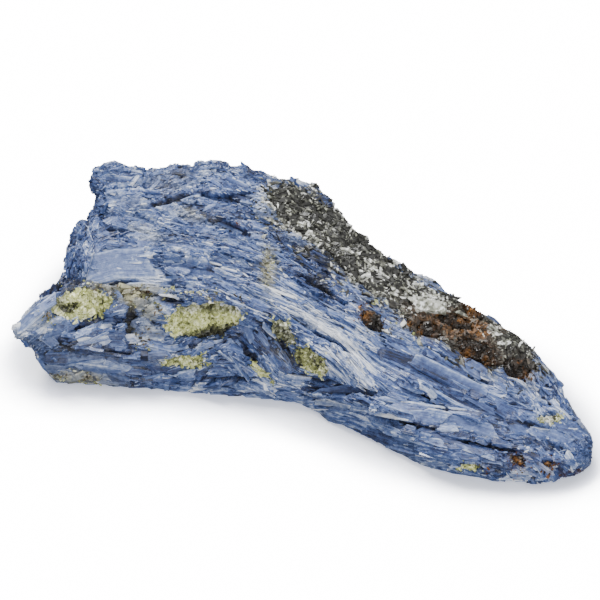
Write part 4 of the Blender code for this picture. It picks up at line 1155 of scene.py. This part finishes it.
class SPECIMEN_OT_schist(bpy.types.Operator):
    """Builds the dark schist: a lumpy skin with flakes of mica on it"""

    bl_idname = "specimen.schist"
    bl_label = "Schist"

    def execute(self, context):
        rng = np.random.default_rng(settings().seed + 200)
        points, quads = skin(("schist",), ROCK_CELL)
        normals = point_normals(points, quads, 3)
        move = noise(points, 1.6, 21) * 0.22 + noise(points, 0.7, 22) * 0.10
        moved = points + normals * move[:, None]
        values = schist_values(points, normals, 0.26)
        piece = new_piece(
            "schist_mass", moved, quads, values, cell_map(len(quads)), finishes()["Schist"]
        )
        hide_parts("schist")
        normals_of_skin = point_normals(moved, quads, 2)
        inner = settings().flakes * 2 // 3
        host, host_quads, host_normals, _ = _made["kyanite"]
        cloud = np.clip(0.5 + noise(host, 1.6, 25), 0, 1)
        edge = np.exp(-((_made["to_schist"] / 2.0) ** 1.3)) * cloud
        count = settings().flakes
        place, normal = scatter_over(
            rng, (moved, quads, normals_of_skin, inner), (host, host_quads, host_normals, count - inner, edge)
        )
        along = grain_direction(place, normal, rng.normal(size=count) * 0.8)
        normal = turned(normal, along, np.clip(rng.normal(size=count) * 0.30, -0.5, 0.5))
        along = unit(along - (along * normal).sum(axis=1)[:, None] * normal)
        length = np.clip(np.exp(rng.normal(size=count) * 0.5) * 0.60, 0.3, 1.5)
        width = length * rng.uniform(0.55, 1.0, count)
        place = place + normal * rng.uniform(-0.08, 0.08, count)[:, None]
        # Flakes are black, grey, pale or white.
        kind = rng.uniform(size=count)
        tone = np.select([kind < 0.55, kind < 0.77, kind < 0.91], [0.02, 0.50, 0.80], 1.0)
        tone += noise(place, 1.1, 26) * 0.2
        values = schist_values(place, normal, tone + rng.normal(size=count) * 0.08)
        # Next to garnets they are darker and rusty.
        shade = np.exp(-((nearest(place, skin(GARNET_NODES, ROUGH_CELL)[0]) / 1.5) ** 2))
        values["tone"] = np.clip(values["tone"] - 0.7 * shade * rng.uniform(0.2, 1.0, count), 0, 1)
        stain = values["rust"] * rng.uniform(0, 0.9, count) + shade * rng.uniform(0, 0.14, count)
        values["rust"] = np.clip(stain, 0, 1)
        thick = 0.12 + width * rng.uniform(0.1, 0.5, count)
        # The first flakes are the pieces of quartz.
        table = np.array(QUARTZ)
        index = seen_points(moved, normals_of_skin, table)
        first = slice(len(table))
        place[first] = moved[index] + normals_of_skin[index] * 0.2
        normal[first] = normals_of_skin[index]
        along[first] = in_surface(np.radians(table[:, 2]), normals_of_skin[index])
        length[first], width[first], thick[first] = table[:, 3], table[:, 4], 0.7
        values["tone"][first], values["rust"][first] = table[:, 5], 0.0
        lath_piece("schist_flakes", place, along, normal, length, width, thick, values,
                   finishes()["Schist"], rng, taper=0.8)
        return {"FINISHED"}


class SPECIMEN_OT_mica(bpy.types.Operator):
    """Builds the pale green crusts: a lumpy skin and the sugary grains on it"""

    bl_idname = "specimen.mica"
    bl_label = "Mica crusts"

    def execute(self, context):
        rng = np.random.default_rng(settings().seed + 300)
        points, quads = skin(MICA_NODES, ROCK_CELL)
        normals = point_normals(points, quads, 2)
        moved = points + normals * (noise(points, 1.3, 31) * 0.34 - 0.40)[:, None]
        values = crust_values(points, 0.42, 0.2)
        piece = new_piece(
            "mica_mass", moved, quads, values, cell_map(len(quads)), finishes()["Mica crust"]
        )
        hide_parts(*MICA_NODES)
        normals = point_normals(moved, quads, 2)
        inner = settings().sugar * 2 // 3
        host, host_quads, host_normals, _ = _made["kyanite"]
        rim = np.exp(-((nearest(host, points[::3]) / 0.55) ** 2))
        rim = np.maximum(rim, in_ellipses(host, SEAMS).max(axis=1) * 0.6 * (host_normals @ EYE > 0.1))
        rim = rim * np.clip(0.3 + noise(host, 1.5, 33), 0, 1) * (1 - _made["cleft"])
        count = settings().sugar
        place, normal = scatter_over(
            rng, (moved, quads, normals, inner, (normals @ EYE > -0.3) * 1.0),
            (host, host_quads, host_normals, count - inner, rim),
        )
        first, second = by_chance(rng, count)
        size = np.clip(np.exp(rng.normal(size=count) * 0.4) * 0.38, 0.2, 1.0)
        values = crust_values(place, 0.68, 0.30)
        seam = in_ellipses(place, SEAMS).max(axis=1) * (np.arange(count) >= inner)
        size *= 1 - 0.3 * seam
        values["tone"] = np.clip(values["tone"] - seam * 0.16 + rng.normal(size=count) * 0.22, 0, 1)
        values["grey"] = np.clip(values["grey"] + seam * 0.95, 0, 1)
        values["rust"] = seam * rng.uniform(0, 0.4, count)
        lath_piece("mica_grains", place + normal * 0.05, first, second, size, size * 0.8, size * 0.7,
                   values, finishes()["Mica crust"], rng, taper=0.9)
        return {"FINISHED"}


class SPECIMEN_OT_garnets(bpy.types.Operator):
    """Builds the worn garnets, with rusty grains round their rims"""

    bl_idname = "specimen.garnets"
    bl_label = "Garnets"

    def execute(self, context):
        rng = np.random.default_rng(settings().seed + 400)
        points, quads = skin(GARNET_NODES, GARNET_CELL)
        normals = point_normals(points, quads, 2)
        chunks = np.abs(noise(points, 1.8, 41)) * 0.6 - 0.35 + noise(points, 0.6, 42) * 0.12
        # The garnets at the toe are worn down to spots.
        right, up = seen(points)
        chunks -= np.where((right > 36) & (up < -12), 0.35 + noise(points, 1.1, 45) * 0.3, 0)
        moved = points + normals * chunks[:, None]
        values = {
            "tone": np.clip(0.14 + noise(points, 1.2, 43) * 0.22, 0, 1),
            "rust": stain_values(points, normals) * np.clip(0.5 + noise(points, 0.9, 44) * 1.2, 0, 1),
        }
        piece = new_piece(
            "garnet_mass", moved, quads, values, cell_map(len(quads)), finishes()["Garnet"]
        )
        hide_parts(*GARNET_NODES)
        host, host_quads, host_normals, _ = _made["kyanite"]
        rim = np.exp(-((nearest(host, points[::3]) / 0.6) ** 2)) + stain_values(host, host_normals) * 0.7
        rim = rim * (host_normals @ EYE > 0)
        normals = point_normals(moved, quads, 2)
        outer = settings().rust_grains // 4
        place, normal = scatter_over(
            rng, (host, host_quads, host_normals, outer, rim),
            (moved, quads, normals, settings().rust_grains * 3 // 4, (normals @ EYE > -0.2) * 1.0),
        )
        count, inner = len(place), place[outer:]
        first, second = by_chance(rng, count)
        size = np.clip(np.exp(rng.normal(size=count) * 0.35) * 0.36, 0.15, 0.8)
        tone = np.concatenate([
            rng.uniform(0.10, 0.75, outer),
            np.clip(0.14 + noise(inner, 1.2, 43) * 0.24 + rng.normal(size=len(inner)) * 0.12, 0, 1),
        ])
        rust = stain_values(place, normal) * np.clip(0.5 + noise(place, 0.9, 44) * 1.2, 0, 1)
        rust = rust * rng.uniform(0.3, 1.3, count)
        values = {"tone": tone, "rust": np.clip(rust, 0, 1)}
        lath_piece("garnet_grains", place, first, second, size, size * 0.8, size * 0.7, values,
                   finishes()["Garnet"], rng, taper=0.9)
        return {"FINISHED"}


def area_light(name, place, size, power):
    """A square light that faces the specimen's middle."""
    data = bpy.data.lights.new(name, "AREA")
    data.size, data.energy = size, power
    obj = bpy.data.objects.new(name, data)
    obj.location = place
    obj.rotation_euler = (-obj.location).to_track_quat("-Z", "Y").to_euler()
    bpy.context.scene.collection.objects.link(obj)


# Half the floor's width, the shadow's reach and the camera's distance in metres, and the sensor in mm.
FLOOR_REACH = 4.0
SHADOW_REACH = 0.014
CAMERA_AWAY = 1.6
SENSOR = 36.0
# What the camera sees: its width in metres, and its middle as (right, up).
VIEW_WIDTH = 0.1092
VIEW_MIDDLE = (-0.364, 12.8)
# Painted shadow: the floor glows less where the specimen hides much of the sky from it.
FLOOR_GLOW = 14.0
FLOOR_SHADOW_RAMP = (
    (0.52, (0.016, 0.019, 0.028)), (0.66, (0.034, 0.038, 0.052)), (0.76, (0.10, 0.105, 0.13)),
    (0.84, (0.38, 0.39, 0.42)), (0.92, (1.0, 1.0, 1.0)),
)
SKY_RAMP = ((0.0, (0.30, 0.31, 0.33)), (0.25, (1.0, 1.0, 1.0)))
SKY_STRENGTH = 0.75


class SPECIMEN_OT_stage(bpy.types.Operator):
    """Sets up the pale floor, the soft light and the camera"""

    bl_idname = "specimen.stage"
    bl_label = "Stage"

    def execute(self, context):
        mesh = bpy.data.meshes.new("floor")
        corners = [(x * FLOOR_REACH, y * FLOOR_REACH, 0) for x, y in ((-1, -1), (1, -1), (1, 1), (-1, 1))]
        mesh.from_pydata(corners, [], [(0, 1, 2, 3)])
        floor = bpy.data.objects.new("floor", mesh)
        floor.visible_diffuse = floor.visible_glossy = False
        context.scene.collection.objects.link(floor)
        made, tree, shader = start_material("Floor")
        shader.inputs["Base Color"].default_value = (0.9, 0.9, 0.9, 1)
        shader.inputs["Roughness"].default_value = 0.9
        shader.inputs["Specular IOR Level"].default_value = 0.1
        # Painted shadow: ambient occlusion darkens the floor's glow round the specimen.
        shade = add(tree, "ShaderNodeAmbientOcclusion", {"Distance": SHADOW_REACH})
        tree.links.new(ramp_of(tree, shade.outputs["AO"], FLOOR_SHADOW_RAMP), shader.inputs["Emission Color"])
        shader.inputs["Emission Strength"].default_value = FLOOR_GLOW
        mesh.materials.append(made)
        world = bpy.data.worlds.new("Studio")
        world.use_nodes = True
        sky = world.node_tree
        height = add(sky, "ShaderNodeSeparateXYZ", {"Vector": add(sky, "ShaderNodeTexCoord").outputs["Generated"]})
        colour = ramp_of(sky, height.outputs["Z"], SKY_RAMP)
        sky.links.new(colour, sky.nodes["Background"].inputs["Color"])
        sky.nodes["Background"].inputs["Strength"].default_value = SKY_STRENGTH
        context.scene.world = world
        power = settings().light
        area_light("key", (-0.30, 0.35, 0.80), 0.30, power)
        area_light("front", (0.25, -0.75, 0.35), 0.6, power * 0.5)
        data = bpy.data.cameras.new("camera")
        camera = bpy.data.objects.new("camera", data)
        target = (SIDE * (VIEW_MIDDLE[0] + MOVED[0]) + OVER * (VIEW_MIDDLE[1] + MOVED[1])) * MM
        camera.location = target + EYE * CAMERA_AWAY
        camera.rotation_euler = (math.pi / 2 - SIGHT, 0.0, 0.0)
        data.sensor_width = SENSOR
        data.lens = SENSOR * CAMERA_AWAY / VIEW_WIDTH
        data.clip_end = 20.0
        context.scene.collection.objects.link(camera)
        context.scene.camera = camera
        return {"FINISHED"}


class SPECIMEN_PT_panel(bpy.types.Panel):
    """Settings and buttons for the specimen's looks"""

    bl_label = "Specimen"
    bl_space_type = "VIEW_3D"
    bl_region_type = "UI"
    bl_category = "Specimen"

    def draw(self, context):
        for key in SpecimenSettings.__annotations__:
            self.layout.prop(settings(), key)
        for operator in OPERATORS:
            self.layout.operator(operator.bl_idname)


OPERATORS = (
    SPECIMEN_OT_kyanite,
    SPECIMEN_OT_blades,
    SPECIMEN_OT_schist,
    SPECIMEN_OT_mica,
    SPECIMEN_OT_garnets,
    SPECIMEN_OT_stage,
)


def register():
    for item in (SpecimenSettings, *OPERATORS, SPECIMEN_PT_panel):
        bpy.utils.register_class(item)
    bpy.types.Scene.specimen = bpy.props.PointerProperty(type=SpecimenSettings)


def unregister():
    del bpy.types.Scene.specimen
    for item in (SPECIMEN_PT_panel, *reversed(OPERATORS), SpecimenSettings):
        bpy.utils.unregister_class(item)


def main():
    """Builds every piece in order."""
    register()
    for operator in OPERATORS:
        getattr(bpy.ops.specimen, operator.bl_idname.split(".")[1])()


if __name__ == "__main__":
    main()
